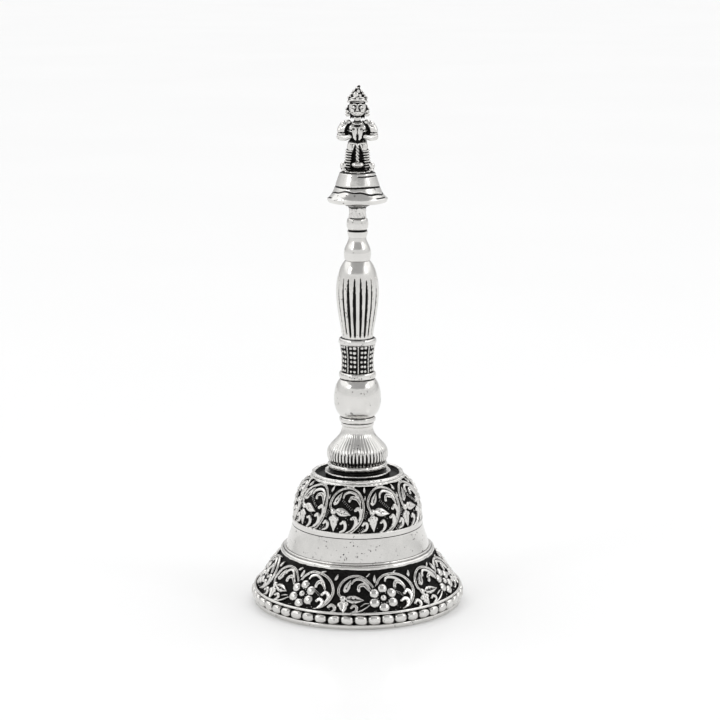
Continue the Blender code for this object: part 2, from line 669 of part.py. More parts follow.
def make_figure(base):
    """The praying figure: a crowned, standing attendant with pressed palms and a mace between the feet."""

    def at(across, ahead, up):
        """A place in the figure, as shares of its half width, half depth (to the front) and height."""
        return (across * FIGURE_HALF_WIDTH, -ahead * FIGURE_HALF_DEPTH, base + up * FIGURE_HEIGHT)

    def size(wide, deep, tall):
        return (wide * FIGURE_HALF_WIDTH, deep * FIGURE_HALF_DEPTH, tall * FIGURE_HEIGHT)

    unit = FIGURE_HEIGHT
    foot = base + FACE_GAP
    body = limb("praying_figure", at(0, 0, 0.26), at(0, 0, 0.6), 0.108 * unit, 0.113 * unit, 14)
    shapes = [
        limb("peg", (0, 0, base - PEG_LENGTH), at(0, 0, 0.1), PEG_RADIUS, PEG_RADIUS),
        limb("ground", (0, 0, foot), at(0, 0, 0.045), 0.17 * unit, 0.16 * unit, 16),
        limb("back", at(0, -0.35, 0.02), at(0, -0.3, 0.4), 0.1 * unit, 0.08 * unit),
        ball("shoulders", at(0, 0, 0.58), size(0.72, 0.75, 0.075)),
        ball("hips", at(0.015, 0, 0.325), size(0.58, 0.86, 0.09)),
        limb("neck", at(0.02, 0.07, 0.57), at(0.03, 0.09, 0.7), 0.062 * unit, 0.057 * unit, 11),
        ball("head", at(0.01, 0.15, 0.735), size(0.46, 0.87, 0.107)),
        limb("crown", at(0, 0, 0.76), at(0.04, 0, 0.945), 0.115 * unit, 0.035 * unit),
        ball("crown_knob", at(0.06, 0, 0.965), size(0.11, 0.2, 0.035), 8),
        limb("palms", at(0, 0.75, 0.37), at(0, 0.8, 0.55), 0.058 * unit, 0.016 * unit, 10),
        limb("mace", at(0, 0.6, 0.1), at(0, 0.6, 0.38), 0.024 * unit, 0.024 * unit, 8),
        ball("mace_head", at(0, 0.6, 0.1), size(0.3, 0.45, 0.04), 10),
    ]
    for side, word in ((-1, "left"), (1, "right")):
        elbow = at(side * 0.83 + 0.007, 0.1, 0.42)
        shapes += [
            limb(word + "_upper_arm", at(side * 0.58, 0, 0.59), elbow, 0.055 * unit, 0.042 * unit, 10),
            ball(word + "_elbow", elbow, size(0.21, 0.4, 0.05), 11),
            limb(word + "_forearm", elbow, at(side * 0.15, 0.75, 0.4), 0.038 * unit, 0.035 * unit, 10),
            limb(word + "_leg", at(side * 0.27, 0.05, 0.34), at(side * 0.5, 0.1, 0.02), 0.058 * unit, 0.05 * unit, 10),
            ball(word + "_anklet", at(side * 0.62, 0.3, 0.075), size(0.2, 0.42, 0.047), 10),
        ]
    finish(joined(body, shapes), SILVER, 0.35)


def clear_scene():
    """Empties the scene and gives it the bell's collection and the cutters' collection."""
    for old in list(bpy.data.objects):
        bpy.data.objects.remove(old)
    made = []
    for name in ("hand_bell", "cutters"):
        collection = bpy.data.collections.new(name)
        bpy.context.scene.collection.children.link(collection)
        made.append(collection)
    return made


bell, cutters = clear_scene()
make_cup()
make_bead_rim()
seat_top = make_crown_plates()
plinth_base = make_handle(seat_top + FACE_GAP)
plinth_top = make_plinth(plinth_base)
make_rod(plinth_base)
make_nut()
make_clapper(make_eye())
make_figure(plinth_top)
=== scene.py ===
"""Looks of the prayer hand bell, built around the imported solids.

Every piece is in metres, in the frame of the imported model: Z is the bell's axis, and the figure faces -Y.
Shapes that are easier to think of in millimetres are drawn in millimetres and scaled by MM.
"""

import math

import bpy
import numpy as np
from bpy.props import FloatProperty, FloatVectorProperty, IntProperty, PointerProperty
from bpy.types import Operator, Panel, PropertyGroup
from mathutils import Matrix, Vector


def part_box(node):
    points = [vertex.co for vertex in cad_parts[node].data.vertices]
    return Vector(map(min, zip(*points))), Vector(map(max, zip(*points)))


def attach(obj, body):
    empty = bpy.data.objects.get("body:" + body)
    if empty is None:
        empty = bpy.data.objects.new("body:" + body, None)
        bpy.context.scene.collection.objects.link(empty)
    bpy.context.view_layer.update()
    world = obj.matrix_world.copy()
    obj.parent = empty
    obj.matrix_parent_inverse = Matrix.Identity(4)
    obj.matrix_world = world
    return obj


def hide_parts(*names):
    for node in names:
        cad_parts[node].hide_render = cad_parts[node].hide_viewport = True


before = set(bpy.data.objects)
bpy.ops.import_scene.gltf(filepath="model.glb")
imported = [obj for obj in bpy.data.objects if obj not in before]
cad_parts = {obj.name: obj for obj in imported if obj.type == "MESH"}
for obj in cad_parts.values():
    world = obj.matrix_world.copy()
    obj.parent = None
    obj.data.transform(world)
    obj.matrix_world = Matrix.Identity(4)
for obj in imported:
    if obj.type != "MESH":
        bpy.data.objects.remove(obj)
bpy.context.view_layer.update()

bl_info = {
    "name": "Prayer Hand Bell",
    "version": (1, 0, 0),
    "blender": (4, 5, 0),
    "location": "View3D > Sidebar > Hand Bell",
    "description": "Chased cup, turned handle, praying figure and clapper of a silver hand bell",
    "category": "Object",
}

MM = 0.001
FRONT = -90  # degrees, the azimuth that the figure faces


def node_size(node):
    """The radius, lowest height and highest height of a turned CAD node."""
    low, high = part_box(node)
    return high.x, low.z, high.z


# Curves and lines


def through(points, per_span=10):
    """A smooth curve through the points, as an array. Every column is smoothed, so a width can ride along."""
    points = np.asarray(points, float)
    if len(points) < 3:
        share = np.linspace(0, 1, per_span + 1)[:, None]
        return points[0] + (points[-1] - points[0]) * share
    padded = np.vstack([2 * points[0] - points[1], points, 2 * points[-1] - points[-2]])
    t = np.linspace(0, 1, per_span, endpoint=False)[:, None]
    spans = []
    for a, b, c, d in zip(padded, padded[1:], padded[2:], padded[3:]):
        spans.append(0.5 * (2 * b + (c - a) * t + (2 * a - 5 * b + 4 * c - d) * t**2 + (3 * b - a - 3 * c + d) * t**3))
    return np.vstack([*spans, points[-1:]])


def sweep(start, pull_start, pull_end, end, count):
    """Points on a cubic Bezier curve, both ends included."""
    t = np.linspace(0, 1, count + 1)[:, None]
    u = 1 - t
    start, pull_start, pull_end, end = (np.asarray(p, float) for p in (start, pull_start, pull_end, end))
    return u**3 * start + 3 * u * u * t * pull_start + 3 * u * t * t * pull_end + t**3 * end


def arc(centre, radius, start, end, count):
    """Points on a circle in the (radius, height) plane, between two angles in degrees."""
    angles = np.radians(np.linspace(start, end, count + 1))
    return np.stack([centre[0] + radius * np.cos(angles), centre[1] + radius * np.sin(angles)], axis=1)


def evenly(line, count):
    """The line resampled at equal steps along its length."""
    line = np.asarray(line, float)
    run = np.concatenate([[0], np.cumsum(np.linalg.norm(np.diff(line, axis=0), axis=1))])
    wanted = np.linspace(0, run[-1], count + 1)
    return np.stack([np.interp(wanted, run, line[:, k]) for k in range(line.shape[1])], axis=1)


def outward(line):
    """The unit normals of a line that runs down the outer side."""
    along = np.gradient(line, axis=0)
    along /= np.linalg.norm(along, axis=1)[:, None]
    return np.stack([-along[:, 1], along[:, 0]], axis=1)


def length_of(line):
    return float(np.linalg.norm(np.diff(line, axis=0), axis=1).sum())


def ease(value, low, high):
    """0 below low, 1 above high, and smooth between."""
    t = np.clip((value - low) / (high - low), 0, 1)
    return t * t * (3 - 2 * t)


# Meshes


def mesh_piece(name, points, faces, polish=None, sharp=40):
    """A new object from points and faces, shaded smooth, with how polished each point is."""
    mesh = bpy.data.meshes.new(name)
    mesh.from_pydata(np.asarray(points, float).reshape(-1, 3).tolist(), [], [tuple(f) for f in faces])
    mesh.validate()
    if polish is not None:
        layer = mesh.attributes.new("polish", "FLOAT", "POINT")
        layer.data.foreach_set("value", np.asarray(polish, np.float32).ravel())
    mesh.shade_smooth()
    if sharp:
        mesh.set_sharp_from_angle(angle=math.radians(sharp))
    piece = bpy.data.objects.new(name, mesh)
    bpy.context.scene.collection.objects.link(piece)
    return piece


def quads(rows, columns, wrap_rows=False, wrap_columns=False):
    """The faces of a grid whose points are stored column by column inside each row."""
    r = np.arange(rows if wrap_rows else rows - 1)
    c = np.arange(columns if wrap_columns else columns - 1)
    r, c = (grid.ravel() for grid in np.meshgrid(r, c, indexing="ij"))
    below = (r + 1) % rows
    beside = (c + 1) % columns
    return np.stack([r * columns + c, below * columns + c, below * columns + beside, r * columns + beside], axis=1)


def placed(line, angles):
    """Points of the (radius, height) line at each angle in radians: rows run down the line, columns round it."""
    radius, height = line[..., 0], line[..., 1]
    return np.stack([radius * np.cos(angles), radius * np.sin(angles), height + 0 * angles], axis=-1)


def turned(name, loop, steps, polish=None, bulge=None, sharp=40):
    """A turned solid with a closed outline that runs down its outer side. bulge moves points out, row by row."""
    loop = np.asarray(loop, float)
    angles = 2 * math.pi * np.arange(steps) / steps
    line = np.repeat(loop[:, None, :], steps, axis=1)
    if bulge is not None:
        line[..., 0] += bulge
    shine = np.ones(len(loop)) if polish is None else np.asarray(polish, float)
    if shine.ndim == 1:
        shine = np.repeat(shine[:, None], steps, axis=1)
    faces = quads(len(loop), steps, wrap_rows=True, wrap_columns=True)
    return mesh_piece(name, placed(line, angles[None, :]), faces, shine, sharp)


def with_bore(line, bore):
    """A closed outline: the outer line, then the bore from the bottom up."""
    line = np.asarray(line, float)
    return np.vstack([line, [[bore, line[-1, 1]], [bore, line[0, 1]]]])


def axial(name, line, steps, polish=None):
    """A turned solid without a bore. The outline runs from its top point on the axis to its bottom one."""
    line = np.asarray(line, float)
    angles = 2 * math.pi * np.arange(steps) / steps
    ring = placed(np.repeat(line[1:-1, None, :], steps, axis=1), angles[None, :]).reshape(-1, 3)
    points = np.vstack([ring, [[0, 0, line[0, 1]], [0, 0, line[-1, 1]]]])
    faces = [tuple(f) for f in quads(len(line) - 2, steps, wrap_columns=True)]
    top, bottom, last = len(ring), len(ring) + 1, (len(line) - 3) * steps
    for i in range(steps):
        j = (i + 1) % steps
        faces.append((top, i, j))
        faces.append((bottom, last + j, last + i))
    shine = np.ones(len(line)) if polish is None else np.asarray(polish, float)
    return mesh_piece(name, points, faces, np.concatenate([np.repeat(shine[1:-1], steps), shine[[0, -1]]]))


def ball_points(centre, radii, around=24, down=14, turn=None):
    """Points and faces of an ellipsoid."""
    polar = np.linspace(0, math.pi, down + 1)
    line = np.stack([np.sin(polar), np.cos(polar)], axis=1)
    angles = 2 * math.pi * np.arange(around) / around
    ring = placed(np.repeat(line[1:-1, None, :], around, axis=1), angles[None, :]).reshape(-1, 3)
    points = np.vstack([ring, [[0, 0, 1], [0, 0, -1]]]) * np.asarray(radii, float)
    if turn is not None:
        points = points @ np.array(turn.to_3x3()).T
    faces = [tuple(f) for f in quads(down - 1, around, wrap_columns=True)]
    last = (down - 2) * around
    for i in range(around):
        j = (i + 1) % around
        faces.append((len(ring), i, j))
        faces.append((len(ring) + 1, last + j, last + i))
    return points + np.asarray(centre, float), faces


def tube_points(path, radii, sides=12, closed=False):
    """Points and faces of a round bar along a path of 3-D points, with a radius at each."""
    path = np.asarray(path, float)
    radii = np.broadcast_to(np.asarray(radii, float), len(path))
    ahead = np.roll(path, -1, 0) - np.roll(path, 1, 0) if closed else np.gradient(path, axis=0)
    ahead /= np.linalg.norm(ahead, axis=1)[:, None]
    side = np.cross(ahead[0], (0, 0, 1) if abs(ahead[0][2]) < 0.9 else (0, 1, 0))
    rings = []
    turn = 2 * math.pi * np.arange(sides) / sides
    for centre, along, radius in zip(path, ahead, radii):
        side = side - along * (side @ along)
        side /= np.linalg.norm(side)
        other = np.cross(along, side)
        rings.append(centre + radius * (np.outer(np.cos(turn), side) - np.outer(np.sin(turn), other)))
    faces = [tuple(f) for f in quads(len(path), sides, wrap_rows=closed, wrap_columns=True)]
    if not closed:
        faces.append(tuple(range(sides)))
        faces.append(tuple(reversed(range((len(path) - 1) * sides, len(path) * sides))))
    return np.vstack(rings), faces


def gathered(parts):
    """Several (points, faces) sets as one."""
    points, faces, first = [], [], 0
    for part_points, part_faces in parts:
        points.append(part_points)
        faces += [tuple(i + first for i in face) for face in part_faces]
        first += len(part_points)
    return np.vstack(points), faces


def hollows(mesh, rounds):
    """How far each point lies below its smoothed surroundings, in metres: positive in a hollow."""
    count = len(mesh.vertices)
    start = np.empty(count * 3)
    normal = np.empty(count * 3)
    mesh.vertices.foreach_get("co", start)
    mesh.vertices.foreach_get("normal", normal)
    start, normal = start.reshape(-1, 3), normal.reshape(-1, 3)
    ends = np.empty(len(mesh.edges) * 2, np.int64)
    mesh.edges.foreach_get("vertices", ends)
    a, b = ends.reshape(-1, 2).T
    share = 1 / np.maximum(np.bincount(a, minlength=count) + np.bincount(b, minlength=count), 1)
    smooth = start.copy()
    for _ in range(rounds):
        total = np.stack(
            [np.bincount(a, smooth[b, k], count) + np.bincount(b, smooth[a, k], count) for k in range(3)], axis=1
        )
        smooth = 0.5 * smooth + 0.5 * total * share[:, None]
    return ((smooth - start) * normal).sum(axis=1)


def recessed(mesh, cell=0.0002, spread=5):
    """How far each point that faces the front or the back lies behind its neighbours on that side, in metres."""
    count = len(mesh.vertices)
    place = np.empty(count * 3)
    normal = np.empty(count * 3)
    mesh.vertices.foreach_get("co", place)
    mesh.vertices.foreach_get("normal", normal)
    place, normal = place.reshape(-1, 3), normal.reshape(-1, 3)
    column = np.round((place[:, 0] - place[:, 0].min()) / cell).astype(int)
    row = np.round((place[:, 2] - place[:, 2].min()) / cell).astype(int)
    total = np.zeros(count)
    for side in (-1, 1):
        front = np.full((column.max() + 1, row.max() + 1), -1.0)
        np.maximum.at(front, (column, row), side * place[:, 1])
        held = (front > -1).astype(float)
        front *= held
        for axis in (0, 1):
            front = sum(np.roll(front, shift, axis) for shift in range(-spread, spread + 1))
            held = sum(np.roll(held, shift, axis) for shift in range(-spread, spread + 1))
        around = front / np.maximum(held, 1)
        total += np.clip(side * normal[:, 1], 0, 1) * (around[column, row] - side * place[:, 1])
    return total


# Chasing: a height field over one repeat of a band, in millimetres


class Chasing:
    """The raised pattern of one repeat. Heights run from 0, the blackened ground, to 1, the top of the relief."""

    def __init__(self, width, height, step, seed):
        self.width = width
        self.draw = np.random.default_rng(seed)
        columns = max(8, round(width / step))
        rows = max(8, round(height / step))
        self.x, self.y = np.meshgrid(np.linspace(0, width, columns + 1), np.linspace(height, 0, rows + 1))
        self.field = np.zeros_like(self.x)

    def shaken(self, x, y):
        """The place moved a little, as a hand-cut mark is, but not at the sides, where the next repeat joins."""
        loose = 0.13 * math.sin(math.pi * min(max(x / self.width, 0), 1))
        return x + loose * self.draw.normal(), y + 0.7 * loose * self.draw.normal()

    def _near(self, x, y, reach):
        return (np.abs(self.x - x) < reach) & (np.abs(self.y - y) < reach)

    def stroke(self, points, top=1.0, groove=0.0, edge=0.5):
        """A raised line through (x, y, half width) points, rounded, with a groove along it if asked."""
        line = through(points)
        middle = line[:, :2].mean(axis=0)
        reach = np.abs(line[:, :2] - middle).max() + line[:, 2].max()
        for shift in (-self.width, 0, self.width):
            near = self._near(middle[0] + shift, middle[1], reach)
            if not near.any():
                continue
            away = np.hypot(
                self.x[near][:, None] - line[None, :, 0] - shift, self.y[near][:, None] - line[None, :, 1]
            )
            share = (away / np.maximum(line[None, :, 2], 0.02)).min(axis=1)
            rise = top * np.clip(1 - share**2, 0, 1) ** edge
            rise -= groove * np.exp(-((share / 0.3) ** 2)) * (share < 1)
            self.field[near] = np.maximum(self.field[near], rise)

    def boss(self, x, y, radius, top=1.0, flat=1.0):
        """A round button. flat below 1 makes it an upright oval."""
        for shift in (-self.width, 0, self.width):
            near = self._near(x + shift, y, radius * 1.1)
            share = np.hypot((self.x[near] - x - shift) / flat, self.y[near] - y) / radius
            self.field[near] = np.maximum(self.field[near], top * np.sqrt(np.clip(1 - share**2, 0, 1)))

    def sink(self, x, y, radius, depth=1.0):
        """Clears a round place down towards the ground."""
        for shift in (-self.width, 0, self.width):
            near = self._near(x + shift, y, radius * 1.1)
            share = np.hypot(self.x[near] - x - shift, self.y[near] - y) / radius
            self.field[near] *= 1 - depth * (1 - ease(share, 0.85, 1))

    def leaf(self, base, tip, half_width, vein=0.3, top=0.95):
        """A pointed leaf, widest a third of the way along, with a vein."""
        base, tip = np.array(base, float), np.array(tip, float)
        shares = ((0, 0.35), (0.18, 0.85), (0.38, 1.0), (0.6, 0.78), (0.82, 0.38), (1, 0.05))
        self.stroke([(*(base + (tip - base) * t), 1.15 * half_width * w) for t, w in shares], top, vein)

    def hook(self, points, thin=0.28, thick=0.62, knob=0.55):
        """A curled hook: a round knob, then a crescent that swells and thins along the points."""
        count = len(points) - 1
        swell = [math.sin(math.pi * min(1, 0.15 + 0.85 * i / count)) for i in range(count + 1)]
        widths = [1.18 * thin + 1.18 * (thick - thin) * share for share in swell]
        self.stroke([(x, y, w) for (x, y), w in zip(points, widths)], 1.0, 0.12)
        self.boss(points[0][0], points[0][1], knob, 1.0)

    def heart(self, base, tip, half_width):
        """A heart-shaped leaf with two lobes at its base and a point at its tip."""
        base, tip = np.array(base, float), np.array(tip, float)
        across = np.array((tip[1] - base[1], base[0] - tip[0])) / np.linalg.norm(tip - base)
        shares = ((0, 0.7), (0.2, 1.0), (0.45, 0.85), (0.7, 0.5), (0.9, 0.2), (1, 0.05))
        self.stroke([(*(base + (tip - base) * t), half_width * w) for t, w in shares], 0.95, 0.3)
        for side in (-0.62, 0.62):
            self.boss(*(base + across * side * half_width + 0.12 * (tip - base)), 0.62 * half_width, 0.95)

    def chain(self, start, end, count):
        """A row of punched dots in pairs."""
        start, end = np.array(start, float), np.array(end, float)
        across = np.array((end[1] - start[1], start[0] - end[0])) / np.linalg.norm(end - start)
        for i in range(count):
            place = start + (end - start) * i / (count - 1)
            self.dots((place + 0.24 * across, place - 0.24 * across), 0.2, 0.8)

    def pits(self, places):
        """Small punched pits in a leaf."""
        for x, y in places:
            self.sink(x, y, 0.2, 0.75)

    def dots(self, places, radius=0.17, top=0.7):
        """Small punched dots."""
        for x, y in places:
            self.boss(x, y, radius, top)

    def ground_texture(self, amount=0.1):
        """A fine matted ground between the raised parts."""
        rough = self.draw.random(self.field.shape)
        rough[:, -1] = rough[:, 0]
        self.field += amount * rough * (self.field < 0.1)


def upper_motif(width, height, step, border, seed):
    """One repeat of the shoulder band: a leafy ring scroll over a plain border."""
    c = Chasing(width, height, step, seed)
    k = width / 12.9
    up = (height - border) / 15.2

    def at(x, y, w=None):
        place = c.shaken(x * k, border + y * up)
        return place if w is None else (*place, w)

    c.stroke([
        at(4.2, -0.9, 0.5), at(6.7, -0.2, 0.68), at(8.9, 1.0, 0.68), at(10.8, 3.2, 0.62), at(11.8, 5.7, 0.58),
        at(12.1, 8.3, 0.54), at(11.7, 10.8, 0.52), at(10.4, 12.9, 0.5), at(8.4, 14.1, 0.5), at(6.0, 14.3, 0.5),
        at(3.7, 13.5, 0.5), at(1.9, 11.9, 0.52), at(0.95, 9.9, 0.54), at(0.75, 8.1, 0.52), at(1.2, 6.9, 0.46),
    ], 1.0, 0.62)
    c.boss(*at(1.95, 6.2), 1.15)
    c.boss(*at(2.15, 8.75), 0.72)
    c.leaf(at(2.2, 8.4), at(4.3, 12.5), 0.98, 0.5)
    c.leaf(at(3.1, 6.5), at(8.0, 5.3), 1.35, 0.25)
    c.pits([at(x, y) for x, y in ((4.4, 6.5), (4.9, 5.8), (5.6, 6.1))])
    c.heart(at(2.1, 4.4), at(2.3, 0.2), 1.55)
    c.stroke([
        at(5.1, 10.6, 0.42), at(5.6, 11.9, 0.52), at(7.0, 12.7, 0.6), at(8.8, 12.5, 0.62), at(10.3, 11.3, 0.5),
        at(11.1, 9.4, 0.2),
    ], 1.0, 0.2)
    c.stroke([
        at(7.2, 9.7, 0.5), at(7.7, 10.7, 0.66), at(8.8, 11.0, 0.8), at(10.0, 10.3, 0.72), at(10.8, 8.9, 0.45),
        at(11.0, 7.8, 0.16),
    ], 1.0, 0.5)
    c.boss(*at(7.35, 9.6), 0.62)
    c.hook([at(9.4, 6.7), at(10.2, 7.4), at(11.0, 6.9), at(11.2, 5.5), at(10.5, 3.9)], thick=0.72, knob=0.7)
    c.hook([at(8.2, 4.1), at(9.1, 4.5), at(9.6, 3.4), at(9.0, 1.9), at(7.9, 0.8)], thick=0.7, knob=0.66)
    c.hook([at(4.9, 2.8), at(5.7, 3.2), at(6.2, 2.0), at(5.6, 0.8), at(4.5, 0.1)], thick=0.62, knob=0.6)
    c.hook([at(-1.2, 2.3), at(-0.5, 3.0), at(0.2, 2.4), at(-0.1, 1.0), at(-1.6, 0.3)], 0.24, 0.6, 0.56)
    c.leaf(at(8.0, 14.4), at(9.0, 15.9), 0.5, 0)
    c.leaf(at(6.4, 14.6), at(5.2, 15.7), 0.42, 0)
    c.leaf(at(12.7, 12.6), at(12.95, 14.9), 0.55, 0.2)
    c.leaf(at(12.6, 9.9), at(12.9, 11.5), 0.3, 0)
    c.chain(at(5.0, 9.7), at(7.9, 7.0), 7)
    c.chain(at(0.3, 6.4), at(-0.5, 4.4), 5)
    c.chain(at(10.5, 0.3), at(11.9, 1.3), 4)
    c.dots([at(x, y) for x, y in ((-2.3, 1.3), (-2.7, 0.6), (6.9, 4.0), (6.4, 4.5), (7.3, 2.6), (3.6, 1.2))], 0.2)
    c.ground_texture()
    c.field = np.maximum(c.field, 0.98 * ease(border - c.y, -0.1, 0.2))
    return c


def lower_motif(width, height, step, seed):
    """One repeat of the skirt band: a leafy scroll, a six-petalled flower and a ring scroll."""
    c = Chasing(width, height, step, seed)
    k = width / 26.0
    up = height / 12.9

    def at(x, y, w=None):
        place = c.shaken(x * k, y * up)
        return place if w is None else (*place, w)

    c.stroke([
        at(1.7, 4.9, 0.42), at(0.9, 6.1, 0.5), at(0.9, 7.9, 0.54), at(2.0, 10.0, 0.54), at(4.2, 11.5, 0.52),
        at(6.8, 11.8, 0.52), at(9.2, 11.0, 0.52), at(11.0, 9.3, 0.48), at(12.0, 7.6, 0.38),
    ], 1.0, 0.62)
    c.boss(*at(2.3, 4.5), 1.1)
    c.boss(*at(2.7, 7.0), 0.7)
    c.leaf(at(2.8, 6.6), at(4.4, 10.4), 1.05, 0.5)
    c.leaf(at(3.6, 4.5), at(8.7, 4.0), 1.3, 0.55)
    c.pits([at(x, y) for x, y in ((4.9, 4.9), (5.4, 4.0), (6.2, 4.5))])
    c.heart(at(2.4, 3.1), at(2.8, 0.0), 1.5)
    c.stroke([
        at(5.0, 9.1, 0.4), at(5.4, 10.1, 0.52), at(6.7, 10.7, 0.58), at(8.3, 10.2, 0.56), at(9.8, 8.8, 0.42),
        at(10.7, 7.5, 0.2),
    ], 1.0, 0.2)
    c.stroke([
        at(7.0, 7.3, 0.6), at(7.5, 8.5, 0.74), at(8.7, 8.8, 0.8), at(9.9, 7.9, 0.6), at(10.6, 6.7, 0.2),
    ], 1.0, 0.5)
    c.boss(*at(7.0, 7.1), 0.7)
    c.hook([at(-1.7, 1.6), at(-0.8, 2.3), at(0.1, 1.7), at(0.1, 0.7), at(-0.7, 0.2)], 0.3, 0.6, 0.6)
    c.hook([at(4.8, 1.7), at(5.7, 2.3), at(6.5, 1.7), at(6.2, 0.8), at(5.3, 0.4)], 0.28, 0.52, 0.5)
    c.stroke([at(3.4, 0.0, 0.16), at(6.4, 0.25, 0.36), at(8.6, 1.1, 0.4), at(10.4, 2.4, 0.14)], 0.95)
    c.stroke([at(7.7, 2.2, 0.14), at(8.9, 2.9, 0.3), at(10.0, 3.0, 0.14)], 0.8)
    c.stroke([
        at(12.9, 8.4, 0.4), at(13.9, 10.3, 0.52), at(16.2, 11.8, 0.54), at(19.3, 12.0, 0.56), at(22.3, 10.9, 0.56),
        at(24.4, 8.8, 0.58), at(25.1, 6.2, 0.6), at(24.2, 3.6, 0.56), at(22.3, 1.6, 0.46), at(19.9, 0.6, 0.2),
    ], 1.0, 0.62)
    c.stroke([
        at(15.9, 9.6, 0.44), at(16.4, 10.6, 0.56), at(18.0, 11.0, 0.62), at(19.9, 10.3, 0.6), at(21.6, 8.9, 0.46),
        at(22.5, 7.2, 0.2),
    ], 1.0, 0.2)
    c.stroke([
        at(18.9, 7.7, 0.6), at(19.5, 8.9, 0.78), at(20.7, 9.0, 0.82), at(21.8, 7.8, 0.58), at(22.3, 6.6, 0.22),
    ], 1.0, 0.5)
    c.boss(*at(18.9, 7.5), 0.7)
    c.hook([at(21.7, 5.2), at(22.7, 6.0), at(23.6, 5.5), at(23.8, 4.2), at(23.2, 3.0)], 0.3, 0.66, 0.66)
    c.hook([at(20.2, 3.1), at(21.2, 3.7), at(22.2, 3.1), at(22.0, 1.9), at(21.0, 1.1)], 0.3, 0.66, 0.62)
    c.leaf(at(25.2, 10.2), at(26.0, 12.2), 0.6, 0.2)
    c.leaf(at(12.4, 9.6), at(12.5, 12.0), 0.6, 0.2)
    c.leaf(at(9.6, 11.4), at(11.2, 12.6), 0.4, 0)
    c.leaf(at(19.6, 12.3), at(21.2, 12.8), 0.35, 0)
    flower = at(14.9, 4.55)
    c.sink(*flower, 4.75)
    for petal in range(6):
        turn = math.radians(60 * petal + 28)
        x = flower[0] + 3.25 * math.cos(turn)
        y = flower[1] + 3.05 * math.sin(turn)
        c.boss(x, y, 1.68, 1.02)
    c.sink(*flower, 1.95)
    for spoke in range(12):
        turn = math.radians(30 * spoke)
        c.boss(flower[0] + 1.72 * math.cos(turn), flower[1] + 1.68 * math.sin(turn), 0.26, 0.6)
    c.boss(*flower, 1.12, 1.08)
    c.chain(at(19.0, 6.2), at(21.0, 4.8), 6)
    c.dots([at(x, y) for x, y in ((18.6, 1.6), (19.3, 1.0), (17.7, 0.6), (12.2, 0.7), (11.4, 0.5), (24.7, 1.0))], 0.2)
    c.ground_texture()
    return c


def slab(name, line, chasing, depth, start, span):
    """A curved plate that carries the chasing on its outer side. The relief's tops lie on the line."""
    rows, columns = chasing.field.shape
    line = evenly(line, rows - 1)
    normal = outward(line)
    angles = np.radians(start + span * np.linspace(0, 1, columns))[None, :]
    rise = (chasing.field - 0.95) * depth
    front = placed(line[:, None, :] + normal[:, None, :] * rise[..., None], angles)
    back = placed(np.repeat((line - normal * depth * 1.1)[:, None, :], columns, axis=1), angles)
    points = [front.reshape(-1, 3)]
    faces = [quads(rows, columns)]
    polish = [chasing.field.ravel()]
    for edge in (np.s_[0], np.s_[-1]):
        points += [front[edge], back[edge], front[:, edge], back[:, edge]]
    first = rows * columns
    for count, ahead in ((columns, True), (rows, False), (columns, False), (rows, True)):
        wall = quads(2, count) + first
        faces.append(wall if ahead else wall[:, ::-1])
        first += 2 * count
        polish.append(np.zeros(2 * count))
    piece = mesh_piece(name, np.vstack(points), np.vstack(faces), np.concatenate(polish), sharp=None)
    return piece


def ripple(rows, steps, amount, seed, coarse=3, fine=26):
    """Slow unevenness round a turned surface, as left by casting and handling. It drifts from row to row."""
    draw = np.random.default_rng(seed)
    turn = 2 * math.pi * np.arange(steps) / steps
    down = np.linspace(0, 1, rows)[:, None]
    total = np.zeros((rows, steps))
    for cycles in range(coarse, fine, 2):
        strength = draw.normal() / math.sqrt(cycles)
        total += strength * np.sin(cycles * turn + draw.uniform(0, 6.28) + draw.uniform(-9, 9) * down)
    return amount * total / 1.4


# Finishes


